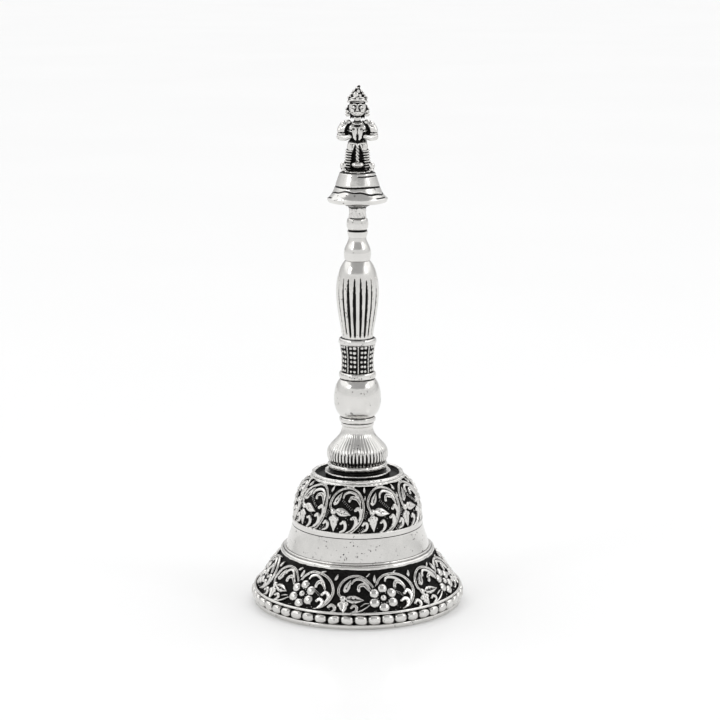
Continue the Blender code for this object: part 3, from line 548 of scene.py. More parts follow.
class Finish:
    """Builds a node material whose bare metal and black oxide follow each point's polish."""

    def __init__(self, name):
        self.material = bpy.data.materials.new(name)
        self.material.use_nodes = True
        self.tree = self.material.node_tree
        self.shader = self.tree.nodes["Principled BSDF"]
        self.place = self.node("ShaderNodeTexCoord").outputs["Object"]

    def node(self, kind, **settings):
        made = self.tree.nodes.new(kind)
        for key, value in settings.items():
            setattr(made, key, value)
        return made

    def link(self, source, target):
        self.tree.links.new(source, target)

    def noise(self, scale, detail=4.0, roughness=0.55, stretch=None):
        """Noise with about this many features in a metre."""
        made = self.node("ShaderNodeTexNoise")
        made.inputs["Scale"].default_value = scale
        made.inputs["Detail"].default_value = detail
        made.inputs["Roughness"].default_value = roughness
        place = self.place
        if stretch:
            mapping = self.node("ShaderNodeMapping")
            mapping.inputs["Scale"].default_value = stretch
            self.link(place, mapping.inputs["Vector"])
            place = mapping.outputs["Vector"]
        self.link(place, made.inputs["Vector"])
        return made.outputs["Fac"]

    def span(self, value, low, high, to_low=0.0, to_high=1.0):
        """The value mapped smoothly from one range to another, and held at its ends."""
        made = self.node("ShaderNodeMapRange", interpolation_type="SMOOTHSTEP")
        for key, number in (("From Min", low), ("From Max", high), ("To Min", to_low), ("To Max", to_high)):
            made.inputs[key].default_value = number
        self.link(value, made.inputs["Value"])
        return made.outputs["Result"]

    def maths(self, operation, a, b):
        made = self.node("ShaderNodeMath", operation=operation)
        for socket, value in zip(made.inputs, (a, b)):
            if isinstance(value, (int, float)):
                socket.default_value = value
            else:
                self.link(value, socket)
        return made.outputs[0]

    def colours(self, share, first, second):
        """A colour between two, by the share."""
        made = self.node("ShaderNodeMix", data_type="RGBA")
        self.link(share, made.inputs["Factor"])
        for socket, colour in ((made.inputs["A"], first), (made.inputs["B"], second)):
            if isinstance(colour, bpy.types.NodeSocket):
                self.link(colour, socket)
            else:
                socket.default_value = (*colour, 1)
        return made.outputs["Result"]

    def pits(self, scale, size, spread):
        """Small uneven pits: 1 inside a pit and 0 outside. A spread nearer 1 leaves fewer of them."""
        cells = self.node("ShaderNodeTexVoronoi")
        cells.inputs["Scale"].default_value = scale
        self.link(self.place, cells.inputs["Vector"])
        ragged = self.span(self.noise(scale * 0.9, 2.0), 0.3, 0.7, -0.12, 0.16)
        inside = self.span(self.maths("ADD", cells.outputs["Distance"], ragged), size * 0.6, size, 1, 0)
        chosen = self.span(self.noise(scale * 0.21, 2.0), spread - 0.02, spread + 0.02)
        return self.maths("MULTIPLY", inside, chosen)

    def bump(self, height, distance, strength=1.0, onto=None):
        made = self.node("ShaderNodeBump")
        made.inputs["Strength"].default_value = strength
        made.inputs["Distance"].default_value = distance
        self.link(height, made.inputs["Height"])
        if onto is not None:
            self.link(onto, made.inputs["Normal"])
        return made.outputs["Normal"]


def aged_metal(name, looks, bare_low=0.3, bare_high=0.62, gloss=None, colour=None, pitted=0.6, dimple=0.00001):
    """Polished metal on the raised parts, black oxide in the hollows, with pits, wear and hand marks."""
    finish = Finish(name)
    bare_colour = Vector(colour or looks.silver)
    gloss = looks.gloss if gloss is None else gloss
    polish = finish.node("ShaderNodeAttribute", attribute_name="polish").outputs["Fac"]
    mottle = finish.noise(1500, 5.0, 0.62)
    fine = finish.noise(5200, 3.0)
    cloud = finish.noise(160, 4.0)
    worn = finish.maths("ADD", polish, finish.span(mottle, 0.3, 0.7, -looks.patchiness, looks.patchiness))
    bare = finish.span(worn, bare_low, bare_high)
    pits = finish.pits(1400, 0.3, pitted)
    bare = finish.maths("MULTIPLY", bare, finish.span(pits, 0, 1, 1, 0.12))
    flaws = finish.pits(430, 0.16, 0.55)
    bare = finish.maths("MULTIPLY", bare, finish.span(flaws, 0, 1, 1, 0.45))
    shade = finish.colours(finish.span(cloud, 0.3, 0.7), bare_colour * 0.9, bare_colour)
    shade = finish.colours(finish.span(fine, 0.35, 0.75), shade, bare_colour * 1.03)
    oxide = finish.colours(finish.span(mottle, 0.3, 0.7), looks.oxide, Vector(looks.oxide) * 2.6)
    finish.link(finish.colours(bare, oxide, shade), finish.shader.inputs["Base Color"])
    dull = finish.span(fine, 0.2, 0.8, 0.45, 0.62)
    sheen = finish.maths("ADD", finish.span(cloud, 0.3, 0.75, gloss, gloss + 0.07),
                         finish.span(fine, 0.5, 0.8, 0.0, 0.05))
    even = finish.node("ShaderNodeMix", data_type="FLOAT")
    for source, socket in ((bare, even.inputs["Factor"]), (dull, even.inputs["A"]), (sheen, even.inputs["B"])):
        finish.link(source, socket)
    finish.link(even.outputs["Result"], finish.shader.inputs["Roughness"])
    finish.shader.inputs["Metallic"].default_value = 1
    normal = finish.bump(finish.noise(900, 3.0, 0.5), dimple * 1.6)
    normal = finish.bump(finish.maths("SUBTRACT", fine, pits), dimple, 0.7, normal)
    finish.link(normal, finish.shader.inputs["Normal"])
    return finish.material


def brushed_steel(name, looks, stretch=(1, 1, 12), dark=0.75):
    """Dull turned steel with fine lines and brown-black grime in patches."""
    finish = Finish(name)
    steel = Vector(looks.steel)
    lines = finish.noise(2600, 3.0, 0.6, stretch)
    grime = finish.span(finish.noise(420, 5.0, 0.6), 0.5, 0.68)
    shade = finish.colours(finish.span(lines, 0.3, 0.7), steel * dark, steel)
    finish.link(finish.colours(grime, shade, looks.grime), finish.shader.inputs["Base Color"])
    rough = finish.maths("ADD", finish.span(lines, 0.3, 0.7, 0.24, 0.4), finish.span(grime, 0, 1, 0, 0.25))
    finish.link(rough, finish.shader.inputs["Roughness"])
    finish.shader.inputs["Metallic"].default_value = 1
    finish.link(finish.bump(lines, 0.00001, 0.8), finish.shader.inputs["Normal"])
    return finish.material


def put_on(piece, body, slot, material, *stands_for):
    """Gives the piece its finish and its CAD body, and hides the CAD nodes that it stands for. The slot is not used.
    """
    piece.data.materials.clear()
    piece.data.materials.append(material)
    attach(piece, body)
    if stands_for:
        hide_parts(*stands_for)
    return piece


# Settings


class HandBellSizes(PropertyGroup):
    """Sizes that shape the details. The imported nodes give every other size."""

    crown_radius: FloatProperty(
        name="Crown radius", description="Radius of the dome's upper edge", default=0.0141, unit="LENGTH")
    shoulder_radius: FloatProperty(
        name="Shoulder radius", description="Radius of the cup at the foot of its dome", default=0.0209, unit="LENGTH")
    shoulder_height: FloatProperty(
        name="Shoulder height", description="Height of the black line under the dome", default=0.0256, unit="LENGTH")
    wall: FloatProperty(name="Wall", description="Thickness of the cup", default=0.0019, unit="LENGTH")
    lip_height: FloatProperty(name="Lip height", description="Height of the lip", default=0.0015, unit="LENGTH")
    lip_width: FloatProperty(name="Lip width", description="Width of the lip's foot", default=0.0028, unit="LENGTH")
    mouth_radius: FloatProperty(
        name="Mouth radius", description="Radius of the lip", default=0.0333, unit="LENGTH")
    upper_relief: FloatProperty(
        name="Upper relief", description="Depth of the shoulder's chasing", default=0.001, unit="LENGTH")
    lower_relief: FloatProperty(
        name="Lower relief", description="Depth of the skirt's chasing", default=0.00105, unit="LENGTH")
    chasing_step: FloatProperty(
        name="Chasing step", description="Spacing of the chased surface's points", default=0.0001, unit="LENGTH",
        precision=5)
    upper_repeats: IntProperty(name="Upper repeats", description="Scrolls round the shoulder", default=10)
    lower_repeats: IntProperty(name="Lower repeats", description="Flowers round the skirt", default=7)
    beads: IntProperty(name="Beads", description="Beads round the mouth", default=49)
    foot_flutes: IntProperty(name="Foot flutes", description="Flutes round the handle's foot", default=50)
    sleeve_ribs: IntProperty(name="Sleeve ribs", description="Upright ribs round the studded sleeve", default=9)
    baluster_flutes: IntProperty(name="Baluster flutes", description="Grooves round the long baluster", default=20)
    figure_grain: FloatProperty(
        name="Figure grain", description="Size of the figure's mesh cells", default=0.00011, unit="LENGTH",
        precision=5)


class HandBellLooks(PropertyGroup):
    """Colours and finishes."""

    silver: FloatVectorProperty(
        name="Silver", description="Polished plating", default=(0.7, 0.69, 0.67), size=3, subtype="COLOR")
    oxide: FloatVectorProperty(
        name="Oxide", description="Black in the hollows", default=(0.008, 0.0078, 0.0075), size=3, subtype="COLOR")
    steel: FloatVectorProperty(
        name="Steel", description="Rod, nut and clapper wire", default=(0.5, 0.5, 0.5), size=3, subtype="COLOR")
    grime: FloatVectorProperty(
        name="Grime", description="Old handling marks on the steel", default=(0.08, 0.065, 0.05), size=3,
        subtype="COLOR")
    floor: FloatVectorProperty(
        name="Floor", description="Studio floor", default=(0.97, 0.97, 0.97), size=3, subtype="COLOR")
    floor_gloss: FloatProperty(
        name="Floor gloss", description="Share of the floor's mirror reflection", default=0.1, min=0, max=1,
        subtype="FACTOR")
    gloss: FloatProperty(
        name="Gloss", description="Roughness of the polished parts", default=0.13, min=0, max=1, subtype="FACTOR")
    patchiness: FloatProperty(
        name="Patchiness", description="How uneven the edge of the oxide is", default=0.16, min=0, max=1,
        subtype="FACTOR")
    sky_strength: FloatProperty(
        name="Sky strength", description="Brightness of the white surroundings", default=1.35, min=0)
    card_strength: FloatProperty(
        name="Card strength", description="Brightness of the grey gap between the side lights", default=0.5, min=0)


def settings():
    scene = bpy.context.scene
    return scene.hand_bell_sizes, scene.hand_bell_looks


# Cup


def cup_lines(sizes):
    """The cup's smooth outer line as three runs: dome, plain band and skirt."""
    waist_outer, waist_low, waist_high = node_size("waist_ring")
    rim_outer, rim_low, rim_high = node_size("rim_wire")
    crown_z = node_size("bell_cup")[2]
    waist_z, rim_z = (waist_low + waist_high) / 2, (rim_low + rim_high) / 2
    shoulder, shoulder_z = sizes.shoulder_radius, sizes.shoulder_height
    belly = waist_outer - 0.65 * (waist_high - waist_low)
    foot = rim_outer - 0.75 * (rim_high - rim_low)
    dome_height, band_height, skirt_height = crown_z - shoulder_z, shoulder_z - waist_z, waist_z - rim_z
    dome = sweep(
        (sizes.crown_radius, crown_z),
        (sizes.crown_radius + 0.57 * (shoulder - sizes.crown_radius), crown_z - 0.14 * dome_height),
        (shoulder, crown_z - 0.29 * dome_height), (shoulder, shoulder_z), 80)
    band = sweep(
        (shoulder, shoulder_z), (shoulder + 0.2 * (belly - shoulder), shoulder_z - 0.33 * band_height),
        (belly - 0.35 * (belly - shoulder), waist_z + 0.33 * band_height), (belly, waist_z), 60)
    skirt = sweep(
        (belly, waist_z), (belly + 0.38 * (foot - belly), waist_z - 0.12 * skirt_height),
        (foot - 0.25 * (foot - belly), rim_z + 0.32 * skirt_height), (foot, rim_z), 60)
    return dome, band, skirt


def between(line, high, low):
    """The part of a falling line between two heights, with points on both."""
    radii = np.interp([-high, -low], -line[:, 1], line[:, 0])
    middle = line[(line[:, 1] < high) & (line[:, 1] > low)]
    return np.vstack([[radii[0], high], middle, [radii[1], low]])


def graded(line, polish):
    """The line with a polish beside each point."""
    line = np.asarray(line, float)
    return np.column_stack([line, np.broadcast_to(polish, len(line))])


class HANDBELL_OT_cup(Operator):
    """Turns the cup's shell: recess, plain polished band, seats for the rings, lip and cast lining"""

    bl_idname = "handbell.cup"
    bl_label = "Cup"

    def execute(self, context):
        sizes, looks = settings()
        dome, band, skirt = cup_lines(sizes)
        crown_z = node_size("bell_cup")[2]
        bead_outer, bead_low, bead_high = node_size("bead_rim")
        waist_low, waist_high = node_size("waist_ring")[1:]
        rim_low, rim_high = node_size("rim_wire")[1:]
        deep_upper, deep_lower = 1.02 * sizes.upper_relief, 1.02 * sizes.lower_relief
        recess = crown_z - 0.55 * MM
        band_top = sizes.shoulder_height - 0.25 * MM
        upper = dome[2:] - outward(dome)[2:] * deep_upper
        plain = between(band, band_top, waist_high + 0.2 * MM)
        lower = between(skirt, waist_low, rim_high)
        lower = lower - outward(lower) * deep_lower
        lip = sizes.lip_height
        mouth = sizes.mouth_radius
        seat = bead_outer - 3.2 * MM
        outer = [
            graded([(3.45 * MM, recess), (0.85 * sizes.crown_radius, recess), (0.93 * sizes.crown_radius, recess)],
                   0.05),
            graded([(0.955 * sizes.crown_radius, crown_z - 0.1 * MM), (0.985 * sizes.crown_radius, crown_z)], 0.1),
            graded(upper, 0.0),
            graded([(plain[0, 0] - 0.45 * MM, sizes.shoulder_height),
                    (plain[0, 0] - 0.4 * MM, band_top + 0.08 * MM)], 0),
            graded([(plain[0, 0] - 0.08 * MM, band_top + 0.03 * MM)], 0.55),
            graded(evenly(plain, 60), 1.0),
            graded([(plain[-1, 0] - 0.1 * MM, plain[-1, 1] - 0.1 * MM)], 0.4),
            graded([(plain[-1, 0] - 0.5 * MM, waist_high), (lower[0, 0] - 0.3 * MM, waist_low + 0.4 * MM)], 0),
            graded(lower, 0.0),
            graded([(seat + 0.7 * MM, rim_low), (seat, bead_high - 0.4 * MM), (seat, bead_low + 0.5 * MM)], 0),
            graded([(seat + 0.35 * MM, lip + 0.02 * MM), (mouth - 0.7 * MM, lip)], 0.1),
            graded(arc((mouth - 0.42 * MM, lip - 0.42 * MM), 0.42 * MM, 90, 0, 5), 1),
            graded([(mouth + 0.02 * MM, lip * 0.45)], 1),
            graded(arc((mouth - 0.3 * MM, 0.3 * MM), 0.3 * MM, -10, -90, 4), 0.9),
        ]
        outline = np.vstack(outer)
        throat = mouth - sizes.lip_width
        lining = np.vstack([dome[20:], band[1:], skirt[1:]])
        lining = lining - outward(lining) * sizes.wall
        ceiling = crown_z - sizes.wall
        lining = lining[(lining[:, 1] < ceiling - 1.2 * MM) & (lining[:, 0] < throat)][::-1]
        inner = evenly(lining, 90)
        curve = sweep(inner[-1], inner[-1] + (-0.3 * MM, 0.8 * MM), (inner[-1, 0] - 1 * MM, ceiling),
                      (inner[-1, 0] - 2.2 * MM, ceiling), 8)
        foot = arc((throat + 0.3 * MM, 0.3 * MM), 0.3 * MM, 270, 180, 4)
        inside = np.vstack([foot, inner, curve[1:], [(3.45 * MM, ceiling)]])
        share = np.linspace(0, 1, len(inside))
        inside_polish = 0.62 + 0.12 * np.sin(share * 90) - 0.2 * ease(share, 0.75, 1)
        loop = np.vstack([outline, np.column_stack([inside, inside_polish])])
        steps = 240
        bulge = np.zeros((len(loop), steps))
        lining_rows = slice(len(outline) + 5, len(loop) - 2)
        rings = np.sin(np.arange(len(loop)) * 2.1)[lining_rows]
        bulge[lining_rows] = 0.02 * MM * rings[:, None] + ripple(len(rings), steps, 0.05 * MM, 11)
        first = sum(len(run) for run in outer[:5])
        bulge[first:first + 61] = ripple(61, steps, 0.018 * MM, 4)
        shell = turned("cup_shell", loop[:, :2], steps, loop[:, 2], bulge)
        put_on(shell, "bell", "cup", aged_metal("cup silver", looks, pitted=0.57), "bell_cup")
        return {"FINISHED"}


class HANDBELL_OT_upper_band(Operator):
    """Chases the scrolled band on the dome, one plate for each repeat"""

    bl_idname = "handbell.upper_band"
    bl_label = "Upper band"

    def execute(self, context):
        sizes, looks = settings()
        dome = cup_lines(sizes)[0]
        line = dome[4:]
        span = 360 / sizes.upper_repeats
        width = math.radians(span) * sizes.shoulder_radius / MM
        material = aged_metal("shoulder chasing", looks, 0.42, 0.68, pitted=0.62)
        for repeat in range(sizes.upper_repeats):
            chasing = upper_motif(width, length_of(line) / MM, sizes.chasing_step / MM, 1.75, repeat)
            start = FRONT - 10 - 0.5 * span + span * repeat
            plate = slab(f"shoulder_scroll_{repeat + 1}", line, chasing, sizes.upper_relief, start, span)
            put_on(plate, "bell", "cup", material)
        return {"FINISHED"}


class HANDBELL_OT_lower_band(Operator):
    """Chases the flowered band on the skirt, one plate for each repeat"""

    bl_idname = "handbell.lower_band"
    bl_label = "Lower band"

    def execute(self, context):
        sizes, looks = settings()
        skirt = cup_lines(sizes)[2]
        rim_high = node_size("rim_wire")[2]
        waist_low = node_size("waist_ring")[1]
        line = between(skirt, waist_low + 0.1 * MM, rim_high - 0.3 * MM)
        span = 360 / sizes.lower_repeats
        width = math.radians(span) * 29.3
        material = aged_metal("skirt chasing", looks, 0.42, 0.68, pitted=0.62)
        for repeat in range(sizes.lower_repeats):
            chasing = lower_motif(width, length_of(line) / MM, sizes.chasing_step / MM, repeat)
            start = FRONT + 16.2 - span * 14.9 / 26 + span * repeat
            plate = slab(f"skirt_flower_{repeat + 1}", line, chasing, sizes.lower_relief, start, span)
            put_on(plate, "bell", "cup", material)
        return {"FINISHED"}


# Rings, beads and crown plates


class HANDBELL_OT_rings(Operator):
    """Turns the crown ring, the double waist ring and the thin rim wire"""

    bl_idname = "handbell.rings"
    bl_label = "Rings"

    def execute(self, context):
        looks = settings()[1]
        material = aged_metal("ring silver", looks, pitted=0.6)
        steps = 300
        outer, low, high = node_size("crown_ring")
        middle, centre = (low + high) / 2, (outer - (high - low) / 2)
        upper = graded(arc((centre - 0.05 * MM, middle + 0.0 * MM), 0.6 * MM, 150, -20, 12), 0.9)
        crack = graded([(centre + 0.5 * MM, middle - 0.3 * MM)], 0.3)
        lower = graded(arc((centre + 0.5 * MM, middle - 0.82 * MM), 0.5 * MM, 60, -110, 12), 0.85)
        back = graded([(centre - 0.35 * MM, middle - 0.8 * MM)], 0)
        loop = np.vstack([upper, crack, lower, back])
        knock = ripple(len(loop), steps, 0.17 * MM, 21, 5, 70)
        knock[-1] = 0
        turn = 2 * math.pi * np.arange(steps) / steps
        shine = loop[:, 2:] + 0.25 * np.sin(7 * turn + 2 * np.sin(3 * turn)) * (loop[:, 2:] < 0.5)
        crown = turned("crown_ring_detail", loop[:, :2], steps, shine, knock)
        put_on(crown, "bell", "trim", material, "crown_ring")

        outer, low, high = node_size("waist_ring")
        middle, row = (low + high) / 2, outer - (high - low) / 2
        upper = graded(arc((row - 0.42 * MM, middle + 0.95 * MM), 0.31 * MM, 130, -50, 10), 1)
        groove = graded([(row - 0.12 * MM, middle + 0.6 * MM)], 0.05)
        lower = graded(arc((row + 0.22 * MM, middle - 0.16 * MM), 0.76 * MM, 78, -100, 18), 1)
        back = graded([(row - 0.7 * MM, middle - 1.1 * MM), (row - 1.2 * MM, middle + 1.2 * MM)], 0)
        loop = np.vstack([upper, groove, lower, back])
        knock = ripple(len(loop), steps, 0.05 * MM, 22, 7, 90)
        knock[22:30] *= 1.8
        knock[-2:] = 0
        waist = turned("waist_ring_detail", loop[:, :2], steps, loop[:, 2], knock)
        put_on(waist, "bell", "trim", material, "waist_ring")

        outer, low, high = node_size("rim_wire")
        wire = (high - low) / 2
        section = arc((outer - wire, (low + high) / 2 - 0.08 * MM), wire * 0.96, 90, -270, 16)[:-1]
        rim = turned("rim_wire_detail", section, steps, np.full(len(section), 0.95),
                     ripple(len(section), steps, 0.04 * MM, 23, 9, 80))
        put_on(rim, "bell", "trim", material, "rim_wire")
        return {"FINISHED"}


class HANDBELL_OT_beads(Operator):
    """Strings the flattened beads round the mouth"""

    bl_idname = "handbell.beads"
    bl_label = "Beads"

    def execute(self, context):
        sizes, looks = settings()
        outer, low, high = node_size("bead_rim")
        tall = (high - low) / 2
        row = outer - 1.42 * MM
        draw = np.random.default_rng(8)
        parts, polish = [], []
        for bead in range(sizes.beads):
            turn = 2 * math.pi * bead / sizes.beads
            points, faces = ball_points((0, 0, 0), (1, 1, 1), 36, 22)
            square = 0.72 + 0.12 * draw.random()
            points[:, 1:] = np.sign(points[:, 1:]) * np.abs(points[:, 1:]) ** square
            points *= np.array((1.42, 2.06, 0.96 * tall / MM)) * np.clip(1 + 0.04 * draw.normal(size=3), 0.9, 1.02)
            facet = points @ draw.normal(size=3)
            points[:, 0] += 0.07 * np.sin(1.5 * facet) * (points[:, 0] > 0)
            points[:, 2] += 0.1 * draw.normal() * points[:, 1] / 2
            shine = ease(points[:, 0], -0.4, 0.5) * (1 - ease(np.abs(points[:, 1]), 1.8, 2.06))
            polish.append(0.9 * shine)
            points *= MM
            points[:, 0] = np.minimum(points[:, 0], outer - row)
            spin = np.array(Matrix.Rotation(turn + 0.008 * draw.normal(), 3, "Z"))
            points = points @ spin.T
            centre = (row * math.cos(turn), row * math.sin(turn), (low + high) / 2 - 0.12 * MM)
            parts.append((points + centre, faces))
        wire_turn = 2 * math.pi * np.arange(360) / 360
        wire = np.stack([row * np.cos(wire_turn), row * np.sin(wire_turn), 0 * wire_turn + (low + high) / 2], axis=1)
        parts.append(tube_points(wire, 0.75 * MM, 10, closed=True))
        polish.append(np.full(len(parts[-1][0]), 0.15))
        points, faces = gathered(parts)
        beads = mesh_piece("bead_row", points, faces, np.concatenate(polish))
        put_on(beads, "bell", "trim", aged_metal("bead silver", looks, 0.22, 0.5, pitted=0.59), "bead_rim")
        return {"FINISHED"}


class HANDBELL_OT_crown_plates(Operator):
    """Turns the blackened stepped disc and the rolled seat under the handle"""

    bl_idname = "handbell.crown_plates"
    bl_label = "Crown plates"

    def execute(self, context):
        looks = settings()[1]
        steps = 220
        bore = 1.55 * MM
        radius, low, high = node_size("crown_disc")
        low -= 0.55 * MM
        top = graded(evenly([(bore, high - 0.5 * MM), (radius * 0.86, high - 0.5 * MM)], 12), 0.58)
        edge = graded(arc((radius - 0.3 * MM, high - 0.42 * MM), 0.3 * MM, 140, -60, 8), 0.76)
        step = graded([(radius - 0.5 * MM, high - 0.95 * MM), (radius - 0.35 * MM, low), (bore, low)], 0.0)
        loop = np.vstack([top, edge, step])
        disc = turned("crown_disc_detail", loop[:, :2], steps, loop[:, 2],
                      ripple(len(loop), steps, 0.16 * MM, 31, 3, 60) * (loop[:, :1] > 5 * MM))
        put_on(disc, "bell", "oxidised", aged_metal("blackened disc", looks, 0.3, 0.8, gloss=0.22), "crown_disc")

        radius, low, high = node_size("handle_seat")
        roll = 0.85 * MM
        loop = np.vstack([
            graded([(bore, high), (radius - 1.6 * MM, high)], 0.1),
            graded(arc((radius - roll, high - roll * 1.05), roll, 118, -62, 14), 0.95),
            graded([(radius - 0.75 * MM, high - 1.95 * MM)], 0.05),
            graded([(radius - 0.35 * MM, low + 0.45 * MM), (radius - 0.3 * MM, low + 0.1 * MM)], 0.2),
            graded([(radius - 0.5 * MM, low), (bore, low)], 0.0),
        ])
        seat = turned("handle_seat_detail", loop[:, :2], steps, loop[:, 2],
                      ripple(len(loop), steps, 0.1 * MM, 32, 3, 60) * (loop[:, :1] > 5 * MM))
        put_on(seat, "bell", "trim", aged_metal("seat silver", looks, pitted=0.58), "handle_seat")
        return {"FINISHED"}


# Handle


def section_piece(name, node, slot, line, polish, steps, bulge, material, bore=1.5 * MM):
    """A section of the handle, turned with its bore, standing for one CAD node."""
    loop = with_bore(line, bore)
    shine = np.vstack([np.broadcast_to(np.reshape(polish, (len(line), -1)), (len(line), steps)), np.zeros((2, steps))])
    full = np.vstack([bulge, np.zeros((2, steps))])
    piece = turned(name, loop, steps, shine, full)
    return put_on(piece, "bell", slot, material, node)


class HANDBELL_OT_foot(Operator):
    """Turns the handle's bell-shaped foot and cuts its fine flutes"""

    bl_idname = "handbell.foot"
    bl_label = "Foot"

    def execute(self, context):
        sizes, looks = settings()
        hip_radius, low, high = node_size("fluted_foot")
        tall = high - low
        hip, neck = low + 0.22 * tall, high - 0.1 * tall
        neck_radius, base_radius = 0.505 * hip_radius, 0.92 * hip_radius
        line = np.vstack([
            [(neck_radius, high), (neck_radius + 0.3 * MM, high - 0.25 * MM),
             (neck_radius + 0.3 * MM, neck + 0.3 * MM)],
            sweep((neck_radius, neck), (neck_radius, neck - 0.34 * tall), (hip_radius, hip + 0.27 * tall),
                  (hip_radius, hip), 60),
            sweep((hip_radius, hip), (hip_radius, hip - 0.1 * tall), (base_radius + 0.3 * MM, low + 0.05 * tall),
                  (base_radius, low), 24)[1:],
        ])
        steps = sizes.foot_flutes * 14
        turn = 2 * math.pi * np.arange(steps) / steps * sizes.foot_flutes
        up = (line[:, 1] - low) / tall
        cut = np.interp(up, (0, 0.06, 0.2, 0.33, 0.5, 0.8, 0.88), (0.75, 1, 0.9, 0.42, 0.16, 0.1, 0))[:, None]
        sway = 0.5 + 0.5 * np.cos(turn + 0.4 * np.sin(turn / 9))[None, :]
        groove = np.clip((sway - 0.5 + 0.14 * cut) / 0.5, 0, 1) ** 0.8 * cut
        bulge = -0.42 * MM * groove + 0.06 * MM * cut * (1 - sway) + ripple(len(line), steps, 0.02 * MM, 41, 2, 14)
        polish = 1 - 1.35 * groove * ease(cut, 0.05, 0.5)
        polish -= 0.5 * ease(0.03 - up, 0, 0.03)[:, None]
        section_piece("fluted_foot_detail", "fluted_foot", "handle", line, polish, steps, bulge,
                      aged_metal("foot silver", looks, 0.25, 0.6, pitted=0.6))
        return {"FINISHED"}


class HANDBELL_OT_bulb(Operator):
    """Turns the round bulb, the ring under it and the collars round the studded sleeve"""

    bl_idname = "handbell.bulb"
    bl_label = "Bulb and collars"

    def execute(self, context):
        looks = settings()[1]
        material = aged_metal("bulb silver", looks, pitted=0.585)
        steps = 160
        for node, seed in (("bulb_base_ring", 51), ("lower_collar", 52), ("upper_collar", 53)):
            radius, low, high = node_size(node)
            half, middle = (high - low) / 2, (high + low) / 2
            polar = np.linspace(math.pi / 2, -math.pi / 2, 21)
            side = np.abs(np.cos(polar)) ** 0.7
            line = np.stack([radius - 0.75 * half + 0.75 * half * side, middle + half * np.sin(polar)], axis=1)
            polish = 1 - 0.9 * (1 - ease(side, 0.1, 0.5))
            section_piece(node + "_detail", node, "handle", line, polish[:, None], steps,
                          ripple(len(line), steps, 0.05 * MM, seed, 3, 40), material)
        radius, low, high = node_size("round_bulb")
        end, tall = 0.738 * radius, high - low
        middle = low + 0.47 * tall
        line = np.vstack([
            [(end - 0.25 * MM, high), (end - 0.1 * MM, high - 0.18 * MM)],
            sweep((end, high - 0.2 * MM), (end + 0.62 * (radius - end), high - 0.1 * tall),
                  (radius, middle + 0.28 * tall), (radius, middle), 40)[1:],
            sweep((radius, middle), (radius, middle - 0.24 * tall), (end + 0.55 * (radius - end), low + 0.1 * tall),
                  (end, low + 0.2 * MM), 40)[1:],
            [(end - 0.25 * MM, low)],
        ])
        edge = np.minimum(high - line[:, 1], line[:, 1] - low) / MM
        polish = 0.15 + 0.85 * ease(edge, 0.1, 0.45)
        section_piece("round_bulb_detail", "round_bulb", "handle", line, polish[:, None], steps,
                      ripple(len(line), steps, 0.035 * MM, 54, 2, 12), material)
        return {"FINISHED"}


class HANDBELL_OT_sleeve(Operator):
    """Models the sleeve's upright ribs and its rows of studs"""

    bl_idname = "handbell.sleeve"
    bl_label = "Studded sleeve"

    def execute(self, context):
        sizes, looks = settings()
        radius, low, high = node_size("lattice_sleeve")
        width = 2 * math.pi * radius / MM / sizes.sleeve_ribs
        tall = (high - low) / MM
        per_panel = 56
        rows = []
        tiles = []
        for panel in range(sizes.sleeve_ribs):
            tile = Chasing(width, tall, width / per_panel, panel)
            tile.stroke([(0, -0.2, 0.34), (0, tall / 2, 0.31), (0, tall + 0.2, 0.34)], 1.0, 0)
            for row in range(6):
                for column in (0, 1):
                    x = width / 2 + (column - 0.5) * 1.32 + 0.05 * tile.draw.normal()
                    y = 0.72 + row * (tall - 1.35) / 5 + 0.06 * tile.draw.normal()
                    size = 0.55 + 0.05 * tile.draw.normal() + 0.03 * row / 5
                    tile.boss(x, y, size, 0.86, 1.1)
            tile.stroke([(-0.2, tall - 0.02, 0.2), (width + 0.2, tall - 0.02, 0.2)], 0.7)
            tile.ground_texture(0.08)
            tiles.append(tile.field[:, :-1])
            rows = tile.y[:, 0]
        field = np.hstack(tiles)
        steps = field.shape[1]
        heights = low + rows * MM
        share = (heights - low) / (high - low)
        radii = radius - 0.5 * MM + 0.3 * MM * ease(share, 0.55, 0.85) + 0.2 * MM * ease(share, 0.8, 1)
        radii += 0.1 * MM * (1 - ease(share, 0, 0.3))
        line = np.stack([radii, heights], axis=1)
        turn = round(steps * (FRONT + 3) / 360)
        field = np.roll(field, turn, axis=1)
        bulge = (field - 0.95) * 0.62 * MM
        section_piece("lattice_sleeve_detail", "lattice_sleeve", "handle", line, field, steps, bulge,
                      aged_metal("sleeve silver", looks, 0.32, 0.6, pitted=0.62))
        return {"FINISHED"}


